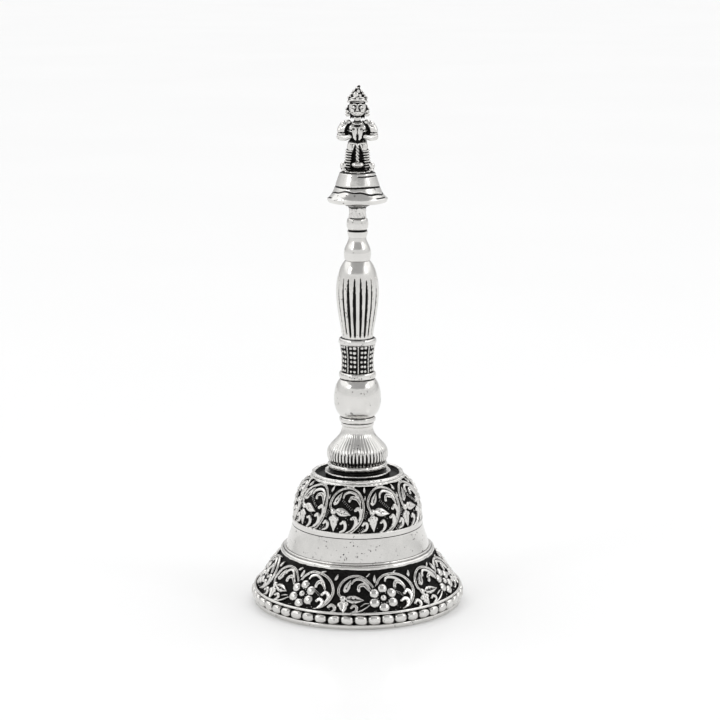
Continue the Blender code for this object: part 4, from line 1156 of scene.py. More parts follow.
class HANDBELL_OT_baluster(Operator):
    """Turns the long baluster and cuts its tapering black grooves"""

    bl_idname = "handbell.baluster"
    bl_label = "Baluster"

    def execute(self, context):
        sizes, looks = settings()
        radius, low, high = node_size("fluted_baluster")
        tall = high - low
        top_radius, foot_radius = 0.58 * radius, 0.726 * radius
        widest = low + 0.6 * tall
        line = np.vstack([
            sweep((top_radius, high), (top_radius + 0.55 * (radius - top_radius), high - 0.07 * tall),
                  (radius, widest + 0.2 * tall), (radius, widest), 60),
            sweep((radius, widest), (radius, widest - 0.22 * tall), (foot_radius, low + 0.1 * tall),
                  (foot_radius, low), 70)[1:],
        ])
        per_flute = 20
        steps = sizes.baluster_flutes * per_flute
        draw = np.random.default_rng(61)
        up = (line[:, 1] - low) / tall
        groove = np.zeros((len(line), steps))
        turn = np.arange(steps) / per_flute
        for flute in range(sizes.baluster_flutes):
            starts = 0.81 + 0.02 * draw.normal()
            ends = 0.02 + 0.03 * max(0, draw.normal())
            width = np.interp(up, (ends, ends + 0.03, 0.35, 0.6, starts - 0.04, starts), (0, 0.2, 0.24, 0.2, 0.09, 0))
            width = np.maximum(width * (1 + 0.12 * draw.normal()), 1e-4)
            drift = 0.04 * np.sin(3 * up + draw.uniform(0, 6.28)) + 0.03 * draw.normal()
            away = turn[None, :] - (flute + 0.5 + drift[:, None])
            away -= sizes.baluster_flutes * np.round(away / sizes.baluster_flutes)
            share = np.abs(away) / width[:, None]
            groove = np.maximum(groove, np.clip(1.25 - share**2, 0, 1) * ease(width, 0.01, 0.1)[:, None])
        crest = 0.5 - 0.5 * np.cos(2 * math.pi * turn)[None, :]
        fade = ease(0.86 - up, 0, 0.1)[:, None]
        bulge = -0.5 * MM * groove - 0.1 * MM * crest * fade + ripple(len(line), steps, 0.02 * MM, 62, 2, 10)
        polish = 1 - 1.2 * groove
        polish *= (1 - 0.9 * ease(0.018 - up, 0, 0.018))[:, None]
        section_piece("fluted_baluster_detail", "fluted_baluster", "handle", line, polish, steps, bulge,
                      aged_metal("baluster silver", looks, 0.25, 0.55, pitted=0.6))
        return {"FINISHED"}


class HANDBELL_OT_neck(Operator):
    """Turns the pear bulb, the grooved knop, the rough neck and the black dish under the plinth"""

    bl_idname = "handbell.neck"
    bl_label = "Pear, knop and neck"

    def execute(self, context):
        looks = settings()[1]
        steps = 128
        material = aged_metal("neck silver", looks, pitted=0.6)
        radius, low, high = node_size("pear_bulb")
        tall, top_radius = high - low, 0.657 * radius
        belly = low + 0.32 * tall
        line = np.vstack([
            sweep((top_radius, high), (top_radius + 0.2 * (radius - top_radius), high - 0.3 * tall),
                  (radius, belly + 0.3 * tall), (radius, belly), 40),
            sweep((radius, belly), (radius, low + 0.2 * tall), (0.97 * radius, low + 0.04 * tall),
                  (0.9 * radius, low), 16)[1:],
        ])
        section_piece("pear_bulb_detail", "pear_bulb", "handle", line, np.ones((len(line), 1)), steps,
                      ripple(len(line), steps, 0.03 * MM, 71, 2, 10), material)

        radius, low, high = node_size("grooved_knop")
        tall, neck = high - low, 0.8 * radius
        groove = low + 0.36 * tall
        polar = np.linspace(math.pi / 2, -math.pi / 2, 26)
        middle, half = (high + groove) / 2, (high - groove) / 2 - 0.15 * MM
        ball = np.stack([neck + (radius - neck) * np.cos(polar), middle + half * np.sin(polar)], axis=1)
        cup = sweep((0.96 * radius, groove - 0.35 * MM), (0.98 * radius, groove - 0.9 * MM),
                    (0.86 * radius, low + 0.3 * MM), (0.824 * radius, low), 14)
        loop = np.vstack([
            graded(ball, 1), graded([(0.9 * radius, groove + 0.12 * MM), (0.86 * radius, groove)], 0),
            graded([(0.88 * radius, groove - 0.22 * MM)], 0), graded(cup, 1),
        ])
        section_piece("grooved_knop_detail", "grooved_knop", "handle", loop[:, :2], loop[:, 2:], steps,
                      ripple(len(loop), steps, 0.035 * MM, 72, 2, 16), material)

        radius, low, high = node_size("neck_sleeve")
        line = evenly([(radius, high), (radius * 0.97, (high + low) / 2), (radius, low)], 24)
        rough = ripple(25, steps, 0.11 * MM, 73, 3, 40)
        dark_top = 0.5 * ease(np.linspace(0, 1, 25), 0.12, 0)[:, None]
        section_piece("neck_sleeve_detail", "neck_sleeve", "handle", line,
                      np.clip(0.85 + rough / MM * 2.2 - dark_top, 0, 1), steps, rough,
                      aged_metal("rough neck", looks, 0.3, 0.8, gloss=0.2, pitted=0.5))

        radius, low, high = node_size("plinth_dish")
        loop = np.vstack([
            graded([(radius * 0.96, high), (radius, high - 0.2 * MM), (radius, high - 0.5 * MM)], 0.72),
            graded([(radius * 0.86, high - 0.62 * MM), (radius * 0.84, high - 0.78 * MM)], 0),
            graded([(radius * 0.86, high - 0.85 * MM), (radius * 0.8, high - 1.15 * MM)], 0.6),
            graded([(radius * 0.66, low + 0.2 * MM), (radius * 0.6, low)], 0.2),
        ])
        section_piece("plinth_dish_detail", "plinth_dish", "oxidised", loop[:, :2], loop[:, 2:], steps,
                      ripple(len(loop), steps, 0.06 * MM, 74, 3, 30),
                      aged_metal("blackened dish", looks, 0.3, 0.85, gloss=0.22))
        return {"FINISHED"}


class HANDBELL_OT_plinth(Operator):
    """Turns the small bell-shaped plinth, with its lobed rim and engraved lines"""

    bl_idname = "handbell.plinth"
    bl_label = "Plinth"

    def execute(self, context):
        looks = settings()[1]
        radius, low, high = node_size("figure_plinth")
        tall = high - low
        waist_radius, top_radius = 0.745 * radius, 0.606 * radius
        rim, waist = low + 0.14 * tall, low + 0.56 * tall
        side = np.vstack([
            [(top_radius - 0.2 * MM, high), (top_radius, high - 0.2 * MM)],
            evenly([(top_radius, high - 0.2 * MM), (waist_radius, waist)], 44)[1:],
            sweep((waist_radius, waist), (waist_radius + 0.25 * (radius - waist_radius), rim + 0.2 * tall),
                  (radius - 0.4 * (radius - waist_radius), rim + 0.08 * tall), (radius, rim), 50)[1:],
            [(radius - 0.05 * MM, rim - 0.35 * MM), (radius - 0.3 * MM, low + 0.35 * MM), (radius - 0.7 * MM, low)],
        ])
        steps = 360
        turn = np.degrees(2 * math.pi * np.arange(steps) / steps) - 360 - FRONT
        turn = (turn + 180) % 360 - 180
        height = (side[:, 1] - low)[:, None] / MM
        wave = 3.3 + 0.52 * np.sin(np.radians(turn * 2.2 + 140)) + 0.16 * np.sin(np.radians(9 * turn))
        lines = (
            (8.4 + 0.0 * turn, 0.21, ease(turn, -2, 4) * ease(150 - turn, 0, 20)),
            (5.05 + 0.07 * np.sin(np.radians(3 * turn)), 0.29, np.ones(steps)),
            (wave, 0.2 + 0.1 * np.exp(-(((turn - 25) / 25) ** 2)), np.ones(steps)),
            (1.75 + 0.0 * turn, 0.17, ease(turn, 35, 48) * ease(80 - turn, 0, 6)),
            (1.7 + 0.0 * turn, 0.18, ease(-turn, 60, 70) * ease(160 + turn, 0, 6)),
        )
        cut = np.zeros((len(side), steps))
        for level, width, present in lines:
            cut = np.maximum(cut, np.exp(-(((height - level[None, :]) / width) ** 2)) * present[None, :])
        marks = np.exp(-(((height - 3.0) / 0.5) ** 2)) * (ease(turn, 44, 48) * ease(68 - turn, 0, 3))[None, :]
        cut = np.maximum(cut, marks * (np.sin(np.radians(turn * 90)) > 0.1)[None, :] * 0.75)
        lobes = ripple(len(side), steps, 1, 81, 3, 12) * 0.12 + 0.06 * np.cos(np.radians(8 * turn))[None, :]
        flare = ease(2.4 - height, 0, 1.6)
        inside = side[:, :1] > 0
        bulge = MM * (lobes * flare - 0.2 * cut) + ripple(len(side), steps, 0.03 * MM, 82, 2, 16) * inside
        low_line = ease(0.5 - height, 0, 0.5) * 0.35
        polish = 1 - 1.6 * cut - low_line - 0.8 * ease(height, tall / MM - 0.12, tall / MM)
        loop = np.vstack([side, [(2.7 * MM, low), (2.7 * MM, low + 1.2 * MM), (0.4 * MM, low + 1.3 * MM)],
                          [(0.4 * MM, high - 0.25 * MM), (top_radius - 0.6 * MM, high - 0.2 * MM)]])
        extra = np.zeros((5, steps))
        plinth = turned("figure_plinth_detail", loop, steps, np.vstack([polish, extra]), np.vstack([bulge, extra]))
        put_on(plinth, "bell", "figure", aged_metal("plinth silver", looks, 0.3, 0.6, pitted=0.6), "figure_plinth")
        return {"FINISHED"}


# Figure. Its parts are placed in millimetres: x to the right, y away from the front, z above the plinth.


class Sculpture:
    """Gathers closed shapes, then melts them into one skin."""

    def __init__(self):
        self.parts = []
        self.lift = 0.0

    def ball(self, centre, radii, tilt=(0, 0, 0)):
        turn = Matrix.Identity(3)
        for angle, axis in zip(tilt, "XYZ"):
            turn = Matrix.Rotation(math.radians(angle), 3, axis) @ turn
        self.parts.append(ball_points(np.add(centre, (0, 0, self.lift)), radii, 28, 18, turn))

    def bar(self, points, radii, sides=18):
        path = through(np.column_stack([points, np.broadcast_to(radii, len(points))]), 8)
        path[:, 2] += self.lift
        self.parts.append(tube_points(path[:, :3], path[:, 3], sides))
        for end in (path[0], path[-1]):
            self.parts.append(ball_points(end[:3], (end[3],) * 3, 16, 10))

    def skin(self, name, grain, origin):
        points, faces = gathered(self.parts)
        solid = mesh_piece(name, points * MM + np.array(origin), faces, sharp=None)
        remesh = solid.modifiers.new("Melt", "REMESH")
        remesh.mode = "VOXEL"
        remesh.voxel_size = grain
        remesh.use_smooth_shade = True
        soften = solid.modifiers.new("Soften", "SMOOTH")
        soften.factor = 0.5
        soften.iterations = 3
        graph = bpy.context.evaluated_depsgraph_get()
        solid.data = bpy.data.meshes.new_from_object(solid.evaluated_get(graph))
        solid.modifiers.clear()
        return solid


def model_head(clay):
    """A calm, general face under a tall crown, with curls at the ears."""
    clay.lift = 0.5
    clay.ball((0, -0.1, 19.9), (2.75, 2.35, 2.75))
    clay.ball((0, -0.9, 18.55), (1.7, 1.5, 1.25))
    clay.ball((0, -2.05, 17.85), (0.62, 0.5, 0.45))
    clay.bar([(0, -2.2, 20.6), (0, -2.55, 19.9), (0, -2.95, 19.35)], (0.22, 0.28, 0.36))
    for side in (-1, 1):
        clay.ball((side * 0.36, -2.65, 19.22), (0.24, 0.26, 0.2))
        clay.bar([(side * 0.3, -2.35, 20.85), (side * 0.95, -2.3, 21.12), (side * 1.7, -1.85, 20.8)],
                 (0.18, 0.24, 0.14))
        clay.ball((side * 0.93, -2.0, 20.25), (0.5, 0.32, 0.24), (0, side * 6, 0))
        clay.bar([(side * 0.42, -2.22, 20.1), (side * 0.93, -2.35, 19.96), (side * 1.42, -2.05, 20.12)],
                 (0.09, 0.12, 0.08))
        clay.ball((side * 1.4, -1.6, 19.1), (0.74, 0.66, 0.75))
        clay.ball((side * 2.7, 0.1, 19.7), (0.5, 0.6, 1.05), (0, side * 8, 0))
        clay.ball((side * 2.9, -0.15, 18.7), (0.45, 0.45, 0.5))
        for curl in range(6):
            x, z = side * (2.95 + 0.22 * (curl % 2)), 19.6 - 0.42 * curl
            clay.bar([(x - side * 0.4, 0.4, z - 0.15), (x + side * 0.25, 0, z - 0.1),
                      (x + side * 0.62, -0.2, z + 0.25)], (0.3, 0.24, 0.1))
    clay.bar([(-0.62, -2.14, 18.64), (0, -2.52, 18.62), (0.62, -2.14, 18.64)], (0.1, 0.17, 0.1))
    clay.bar([(-0.5, -2.12, 18.36), (0, -2.42, 18.3), (0.5, -2.12, 18.36)], (0.1, 0.18, 0.1))
    clay.lift = 0.0
    brim = [(3.0 * math.cos(a), 0.1 + 2.55 * math.sin(a), 23.2 - 0.35 * math.sin(a) ** 2 - 1.1 * abs(math.cos(a)) ** 3)
            for a in np.linspace(0, 2 * math.pi, 33)]
    clay.bar(brim, 0.3)
    clay.bar([(0.88 * x, 0.88 * y - 0.02, z + 0.66) for x, y, z in brim], 0.24)
    for level, wide in ((22.3, 2.75), (23.1, 2.4), (23.9, 2.0), (24.7, 1.5), (25.5, 1.05), (26.2, 0.72)):
        clay.ball((0.08, 0.15, level), (wide, wide * 0.92, 0.85))
    clay.ball((-0.5, -1.85, 24.35), (0.85, 0.6, 1.0), (0, -12, 0))
    clay.ball((0.75, -1.65, 24.0), (0.5, 0.5, 0.72), (0, 14, 0))
    clay.ball((0.3, -1.15, 25.35), (0.5, 0.5, 0.62))
    clay.ball((0.05, -2.4, 23.25), (0.42, 0.4, 0.5))
    for side in (-1, 1):
        for x, y, z, tall in ((2.75, -0.4, 23.2, 0.72), (2.15, -0.5, 23.8, 0.7), (1.65, -0.45, 24.65, 0.66),
                              (1.15, -0.3, 25.45, 0.56), (1.6, -1.5, 23.1, 0.6)):
            clay.ball((side * x + 0.06, y, z), (0.4, 0.52, tall), (0, side * 24, 0))
    clay.bar([(0.15, 0.1, 26.1), (0.28, 0.1, 26.65), (0.5, 0.05, 27.0)], (0.6, 0.5, 0.3))
    clay.ball((0.75, 0, 26.85), (0.3, 0.28, 0.26))


def model_torso(clay):
    """The chest with its necklaces, the pleated sleeves, the bent arms and the pressed palms."""
    clay.bar([(0, 0.7, 15.0), (0, 0.7, 17.6)], (1.1, 1.05))
    clay.ball((0, 0.35, 14.4), (3.6, 2.0, 1.75))
    clay.ball((0, 0.3, 12.4), (2.75, 1.9, 2.4))
    clay.ball((0, 1.15, 13.3), (5.0, 0.75, 2.5))
    clay.ball((0, 0.35, 10.0), (2.5, 1.95, 1.7))
    for radius, drop, wire in ((1.7, 16.35, 0.24), (2.55, 15.75, 0.28), (3.1, 14.7, 0.2)):
        arc_points = [(radius * math.cos(a), 0.3 + min(radius, 2.35) * math.sin(a) * 0.98,
                       drop - 0.55 * radius * (0.5 - 0.5 * math.sin(a)) * (math.sin(a) < 0) - 0.1)
                      for a in np.linspace(-math.pi, 0, 15)]
        clay.bar(arc_points, wire)
        if wire < 0.25:
            continue
        for x, y, z in arc_points[2:-2]:
            clay.ball((x, y - 0.12, z - 0.1), (0.2, 0.2, 0.2))
    for side in (-1, 1):
        clay.ball((side * 1.45, -1.15, 14.2), (1.25, 0.8, 1.0))
        clay.ball((side * 3.1, 0.2, 15.75), (1.2, 1.2, 0.95))
        clay.ball((side * 4.15, 0.1, 15.1), (1.3, 1.35, 1.15))
        clay.bar([(side * 4.2, 0.1, 15.1), (side * 4.95, 0.1, 13.9), (side * 5.3, -0.05, 13.3)], (1.18, 1.18, 1.08))
        for fold in range(5):
            reach = fold / 4
            clay.bar([(side * (3.1 + 0.75 * reach), -1.1, 15.6 - 0.5 * reach),
                      (side * (3.95 + 1.15 * reach), -1.4 + 0.45 * reach, 14.2 - 0.3 * reach),
                      (side * (4.2 + 1.35 * reach), -1.35 + 0.45 * reach, 13.0)], (0.14, 0.17, 0.17))
        clay.bar([(side * 5.4, 1.0, 12.15), (side * 6.15, 0, 12.2), (side * 5.3, -1.15, 12.25),
                  (side * 4.1, -1.2, 12.35)], 0.28)
        clay.ball((side * 5.4, -0.3, 11.3), (1.1, 1.05, 1.05))
        clay.bar([(side * 5.4, -0.4, 11.25), (side * 4.0, -1.7, 11.1), (side * 2.3, -2.7, 11.6)], (1.05, 0.9, 0.62))
        for band in range(2):
            place = np.array((side * (2.55 + 0.4 * band), -2.55 + 0.28 * band, 11.5 - 0.1 * band))
            clay.ball(place, (0.2, 0.72, 0.76), (0, 0, side * 35))
        tilt = side * 15
        clay.ball((side * 0.98, -3.1, 12.15), (0.5, 0.45, 1.8), (0, tilt, 0))
        clay.ball((side * 0.45, -3.05, 13.5), (0.36, 0.34, 1.25), (0, tilt, 0))
        clay.bar([(side * 1.15, -2.95, 11.3), (side * 0.95, -3.25, 12.1), (side * 0.62, -3.3, 12.9)],
                 (0.24, 0.24, 0.16))
        for finger in range(3):
            x = side * (0.28 + 0.26 * finger)
            clay.bar([(x + side * 0.25, -3.3, 11.9), (x, -3.34, 13.2), (x - side * 0.06, -3.22, 14.3 - 0.35 * finger)],
                     (0.15, 0.14, 0.08))
    clay.bar([(-2.3, -1.5, 9.55), (0, -2.0, 9.3), (2.3, -1.5, 9.55)], (0.3, 0.36, 0.3))
    clay.bar([(-2.45, 1.2, 9.6), (0, 2.1, 9.5), (2.45, 1.2, 9.6)], 0.3)


def model_legs(clay):
    """The draped thighs, the ringed shins, the round anklets, the mace and the ground."""
    clay.ball((0, 0.2, 0.45), (4.6, 3.9, 0.75))
    clay.ball((0, 1.0, 4.6), (2.9, 0.9, 4.8))
    for side in (-1, 1):
        clay.bar([(side * 1.5, -0.3, 9.6), (side * 2.0, -0.75, 8.2), (side * 2.3, -0.8, 7.2)], (1.35, 1.3, 1.05))
        for fold in range(4):
            clay.bar([(side * (0.75 + 0.5 * fold), -1.75, 9.3 - 0.1 * fold),
                      (side * (1.2 + 0.45 * fold), -2.0 + 0.2 * fold, 8.4 - 0.1 * fold),
                      (side * (1.5 + 0.45 * fold), -1.75 + 0.2 * fold, 7.4)], 0.2)
        clay.bar([(side * 2.45, -0.7, 7.3), (side * 2.8, -0.75, 4.6), (side * 3.2, -0.6, 1.0)], (1.0, 0.9, 0.82))
        for turn in range(8):
            share = turn / 7
            x, z = side * (2.47 + 0.7 * share), 7.0 - 5.6 * share
            wide = 1.1 - 0.1 * share
            coil = [(x + wide * math.cos(a), -0.7 + wide * math.sin(a), z + 0.14 * side * math.cos(a))
                    for a in np.linspace(0, 2 * math.pi, 17)]
            clay.bar(coil, 0.23, 10)
        clay.ball((side * 4.35, -0.9, 2.35), (1.1, 1.15, 1.25))
        clay.ball((side * 4.15, -1.1, 1.25), (0.95, 1.2, 0.8))
        clay.ball((side * 3.2, -1.9, 0.75), (0.75, 1.45, 0.55), (0, 0, side * 14))
        for toe in range(4):
            clay.ball((side * (2.75 + 0.32 * toe), -3.05 + 0.09 * toe, 0.68), (0.17, 0.3, 0.2))
    clay.bar([(0, -1.9, 9.2), (0, -2.05, 6.4), (0.05, -2.1, 3.6)], 0.24)
    for strand in range(2):
        twist = [(0.02 + 0.32 * math.cos(a + math.pi * strand), -2.05 + 0.32 * math.sin(a + math.pi * strand),
                  9.0 - 5.2 * a / 16) for a in np.linspace(0, 16, 49)]
        clay.bar(twist, 0.26, 8)
    clay.ball((0.05, -2.05, 9.1), (0.62, 0.6, 0.5))
    clay.ball((0.07, -2.15, 2.85), (1.9, 1.25, 1.0))
    clay.bar([(-0.5, -2.1, 3.6), (0.1, -2.5, 3.65), (0.7, -2.1, 3.6)], 0.2)
    clay.ball((0.25, -3.55, 0.35), (0.42, 0.4, 0.3))
    clay.bar([(-2.3, 1.9, 9.4), (-2.7, 2.15, 5.5), (-2.9, 2.1, 1.0)], (0.7, 0.75, 0.7))
    clay.bar([(2.3, 1.9, 9.4), (2.7, 2.15, 5.5), (2.9, 2.1, 1.0)], (0.7, 0.75, 0.7))
    for fold in range(6):
        x = -2.2 + 0.88 * fold
        clay.bar([(0.9 * x, 2.1, 9.3), (x, 2.35, 5.5), (1.1 * x, 2.3, 1.0)], (0.34, 0.42, 0.4))


def model_back(clay):
    """The plain back of the dress: a neck fringe, a sash and shoulder folds."""
    for lock in range(7):
        x = -1.8 + 0.6 * lock
        clay.bar([(x, 1.9 - 0.08 * x * x, 19.5), (x * 1.1, 2.15 - 0.08 * x * x, 18.0), (x * 1.15, 1.9, 16.9)],
                 (0.34, 0.38, 0.2))
    clay.bar([(-3.0, 1.7, 15.6), (-1.0, 2.25, 13.5), (1.6, 2.25, 11.4), (2.6, 1.7, 9.8)], (0.35, 0.42, 0.42, 0.35))
    for fold in range(3):
        clay.bar([(2.9 - 0.4 * fold, 1.8, 15.3 - 0.7 * fold), (1.4 - 0.4 * fold, 2.2, 13.6 - 0.7 * fold)], 0.17)


class HANDBELL_OT_figure(Operator):
    """Models the praying figure and melts its shapes into one casting"""

    bl_idname = "handbell.figure"
    bl_label = "Figure"

    def execute(self, context):
        sizes, looks = settings()
        base = node_size("figure_plinth")[2]
        clay = Sculpture()
        for model in (model_head, model_torso, model_legs, model_back):
            model(clay)
        figure = clay.skin("praying_figure_detail", sizes.figure_grain, (0, 0, base - 0.3 * MM))
        deep = 0.5 * hollows(figure.data, 14) / MM + 0.5 * hollows(figure.data, 60) / MM
        polish = 0.64 - 11 * deep - 2.3 * np.maximum(recessed(figure.data) / MM - 0.06, 0)
        layer = figure.data.attributes.new("polish", "FLOAT", "POINT")
        layer.data.foreach_set("value", np.clip(polish, 0, 1).astype(np.float32))
        put_on(figure, "bell", "figure", aged_metal("figure silver", looks, 0.3, 0.7, gloss=0.17, pitted=0.62),
               "praying_figure")
        return {"FINISHED"}


# Rod, nut, eye and clapper


class HANDBELL_OT_rod(Operator):
    """Turns the tie rod and its threaded end"""

    bl_idname = "handbell.rod"
    bl_label = "Tie rod"

    def execute(self, context):
        looks = settings()[1]
        radius, low, high = node_size("tie_rod")
        count = int((high - low) / (0.1 * MM))
        heights = np.linspace(high, low, count)
        thread = 0.09 * MM * np.sin(2 * math.pi * heights / (0.5 * MM)) * (heights < low + 6 * MM)
        line = np.vstack([[(0, high)], np.stack([radius - 0.09 * MM + thread, heights], axis=1), [(0, low)]])
        rod = axial("tie_rod_detail", line, 32)
        put_on(rod, "bell", "rod", brushed_steel("rod steel", looks, (1, 1, 0.1)), "tie_rod")
        return {"FINISHED"}


class HANDBELL_OT_nut(Operator):
    """Models the flanged hexagon nut under the crown, with chamfered corners and a bored floor"""

    bl_idname = "handbell.nut"
    bl_label = "Crown nut"

    def execute(self, context):
        looks = settings()[1]
        low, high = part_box("crown_nut")
        corner = high.y
        steps = 144
        turn = 2 * math.pi * np.arange(steps) / steps
        flat = corner * math.cos(math.pi / 6)
        hexagon = flat / np.cos((turn - math.pi / 2 + math.pi / 6) % (math.pi / 3) - math.pi / 6)
        flange_top = low.z + 1.8 * MM
        rows = []
        for height, share in ((flange_top, 0.86), (flange_top - 0.02 * MM, 0.93), (flange_top - 0.3 * MM, 1.0),
                              (low.z + 0.35 * MM, 1.0), (low.z + 0.06 * MM, 0.93), (low.z, 0.88)):
            rows.append((np.minimum(hexagon * (1 if share == 1 else 0.985), corner * max(share, 0.93)), height))
        boss = 3.15 * MM
        outline = [(np.full(steps, 1.5 * MM), high.z), (np.full(steps, boss), high.z),
                   (np.full(steps, boss), flange_top + 0.1 * MM), (np.full(steps, boss + 0.2 * MM), flange_top)]
        floor = low.z + 1.1 * MM
        outline += rows
        outline += [(np.full(steps, 1.2 * MM), low.z), (np.full(steps, 0.97 * MM), low.z + 0.2 * MM),
                    (np.full(steps, 0.97 * MM), floor), (np.full(steps, 1.5 * MM), floor)]
        radii = np.stack([row[0] for row in outline])
        heights = np.array([row[1] for row in outline])
        points = np.stack([radii * np.cos(turn), radii * np.sin(turn), heights[:, None] + 0 * radii], axis=-1)
        faces = quads(len(outline), steps, wrap_rows=True, wrap_columns=True)
        nut = mesh_piece("crown_nut_detail", points, faces, np.ones(radii.size), sharp=25)
        put_on(nut, "bell", "rod", brushed_steel("nut steel", looks, (1, 1, 1), 0.7), "crown_nut")
        return {"FINISHED"}


def wire_loop(centre, radius, wire, plane, steps=72, sides=18):
    """A round wire bent into an upright ring, in the plane of the Z axis and the axis named."""
    turn = 2 * math.pi * np.arange(steps) / steps
    across, up = radius * np.cos(turn), centre[2] + radius * np.sin(turn)
    x, y = (across, 0 * turn) if plane == "X" else (0 * turn, across)
    return tube_points(np.stack([x + centre[0], y + centre[1], up], axis=1), wire, sides, closed=True)


class HANDBELL_OT_clapper(Operator):
    """Bends the eye and the clapper's loop, and turns the ball and its tip nut"""

    bl_idname = "handbell.clapper"
    bl_label = "Hanger and clapper"

    def execute(self, context):
        looks = settings()[1]
        low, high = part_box("hanger_eye")
        wire = 0.79 * MM
        loop_radius = high.y - wire - 0.01 * MM
        head = 1.34 * MM
        eye_centre = low.z + loop_radius + wire
        neck = eye_centre + loop_radius
        shank = [(0, high.z), (head - 0.15 * MM, high.z), (head, high.z - 0.15 * MM), (head, high.z - 0.72 * MM),
                 (head - 0.08 * MM, high.z - 0.8 * MM), (0.79 * MM, high.z - 0.8 * MM), (0.79 * MM, neck + 0.3 * MM),
                 (0.79 * MM, neck), (0.6 * MM, neck - 0.3 * MM), (0, neck - 0.3 * MM)]
        eye = axial("hanger_eye_detail", shank, 40)
        ring = mesh_piece("hanger_eye_ring", *wire_loop((0, 0, eye_centre), loop_radius, wire, "Y"))
        steel = brushed_steel("wire steel", looks, (6, 6, 6), 0.7)
        put_on(eye, "hanger", "clapper_wire", steel, "hanger_eye")
        put_on(ring, "hanger", "clapper_wire", steel)

        low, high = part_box("clapper_rod")
        wire = 0.69 * MM
        loop_radius = high.x - wire - 0.01 * MM
        centre = high.z - loop_radius - wire - 0.01 * MM
        top = centre - loop_radius
        heights = np.linspace(top, low.z, 240)
        rod_radius = 0.88 * MM
        thread = 0.06 * MM * np.sin(2 * math.pi * heights / (0.45 * MM)) * (heights < low.z + 3 * MM)
        taper = 0.07 * MM * np.sin(math.pi * np.linspace(0, 1, len(heights)))
        line = np.vstack([[(0, top)], np.stack([rod_radius - 0.06 * MM + thread - taper, heights], axis=1),
                          [(0, low.z)]])
        rod = axial("clapper_rod_detail", line, 40)
        put_on(rod, "clapper", "clapper_wire", brushed_steel("clapper rod steel", looks, (1, 1, 0.1)), "clapper_rod")
        ring = mesh_piece("clapper_loop", *wire_loop((0, 0, centre), loop_radius, wire, "X"))
        put_on(ring, "clapper", "clapper_wire", steel)

        radius, low, high = node_size("clapper_ball")
        middle = (low + high) / 2
        bore = 1.12 * MM
        start = math.degrees(math.acos(bore / radius))
        line = arc((0, middle), radius * 0.998, start, -start, 90)
        steps = 160
        worn = np.exp(-(((line[:, 1] - middle) / (1.3 * MM)) ** 2))[:, None]
        dents = ripple(len(line), steps, 0.03 * MM, 91, 6, 60)
        bulge = -np.abs(dents) * (0.35 + 0.65 * worn)
        polish = np.clip(0.62 + 0.5 * worn + dents / MM * 6, 0, 1)
        loop = with_bore(line, bore)
        ball = turned("clapper_ball_detail", loop, steps, np.vstack([polish, np.zeros((2, steps))]),
                      np.vstack([bulge, np.zeros((2, steps))]))
        put_on(ball, "clapper", "clapper_ball",
               aged_metal("ball silver", looks, 0.1, 0.9, gloss=0.24, pitted=0.56), "clapper_ball")

        radius, low, high = node_size("clapper_tip")
        steps = 96
        turn = 2 * math.pi * np.arange(steps) / steps
        hexagon = radius * 0.93 / np.cos(turn % (math.pi / 3) - math.pi / 6)
        rows = ((high, 0.55, 0), (high, 0.9, 1), (high - 0.12 * MM, 1.0, 1), (high - 0.62 * MM, 1.0, 1),
                (high - 0.75 * MM, 0.9, 1), (high - 1.0 * MM, 0.72, 0), (low + 0.06 * MM, 0.45, 0), (low, 0.2, 0))
        radii = np.stack([np.minimum(hexagon, radius) * share if hexed else np.full(steps, radius * share)
                          for _, share, hexed in rows])
        heights = np.array([row[0] for row in rows])
        ring = np.stack([radii * np.cos(turn), radii * np.sin(turn), heights[:, None] + 0 * radii], axis=-1)
        points = np.vstack([ring.reshape(-1, 3), [[0, 0, low]]])
        faces = [tuple(f) for f in quads(len(rows), steps, wrap_columns=True)]
        last = (len(rows) - 1) * steps
        faces += [(len(points) - 1, last + (i + 1) % steps, last + i) for i in range(steps)]
        faces.append(tuple(range(steps)))
        tip = mesh_piece("clapper_tip_detail", points, faces, np.ones(len(points)), sharp=25)
        put_on(tip, "clapper", "clapper_wire", brushed_steel("tip steel", looks, (1, 1, 1)), "clapper_tip")
        return {"FINISHED"}


# Stage


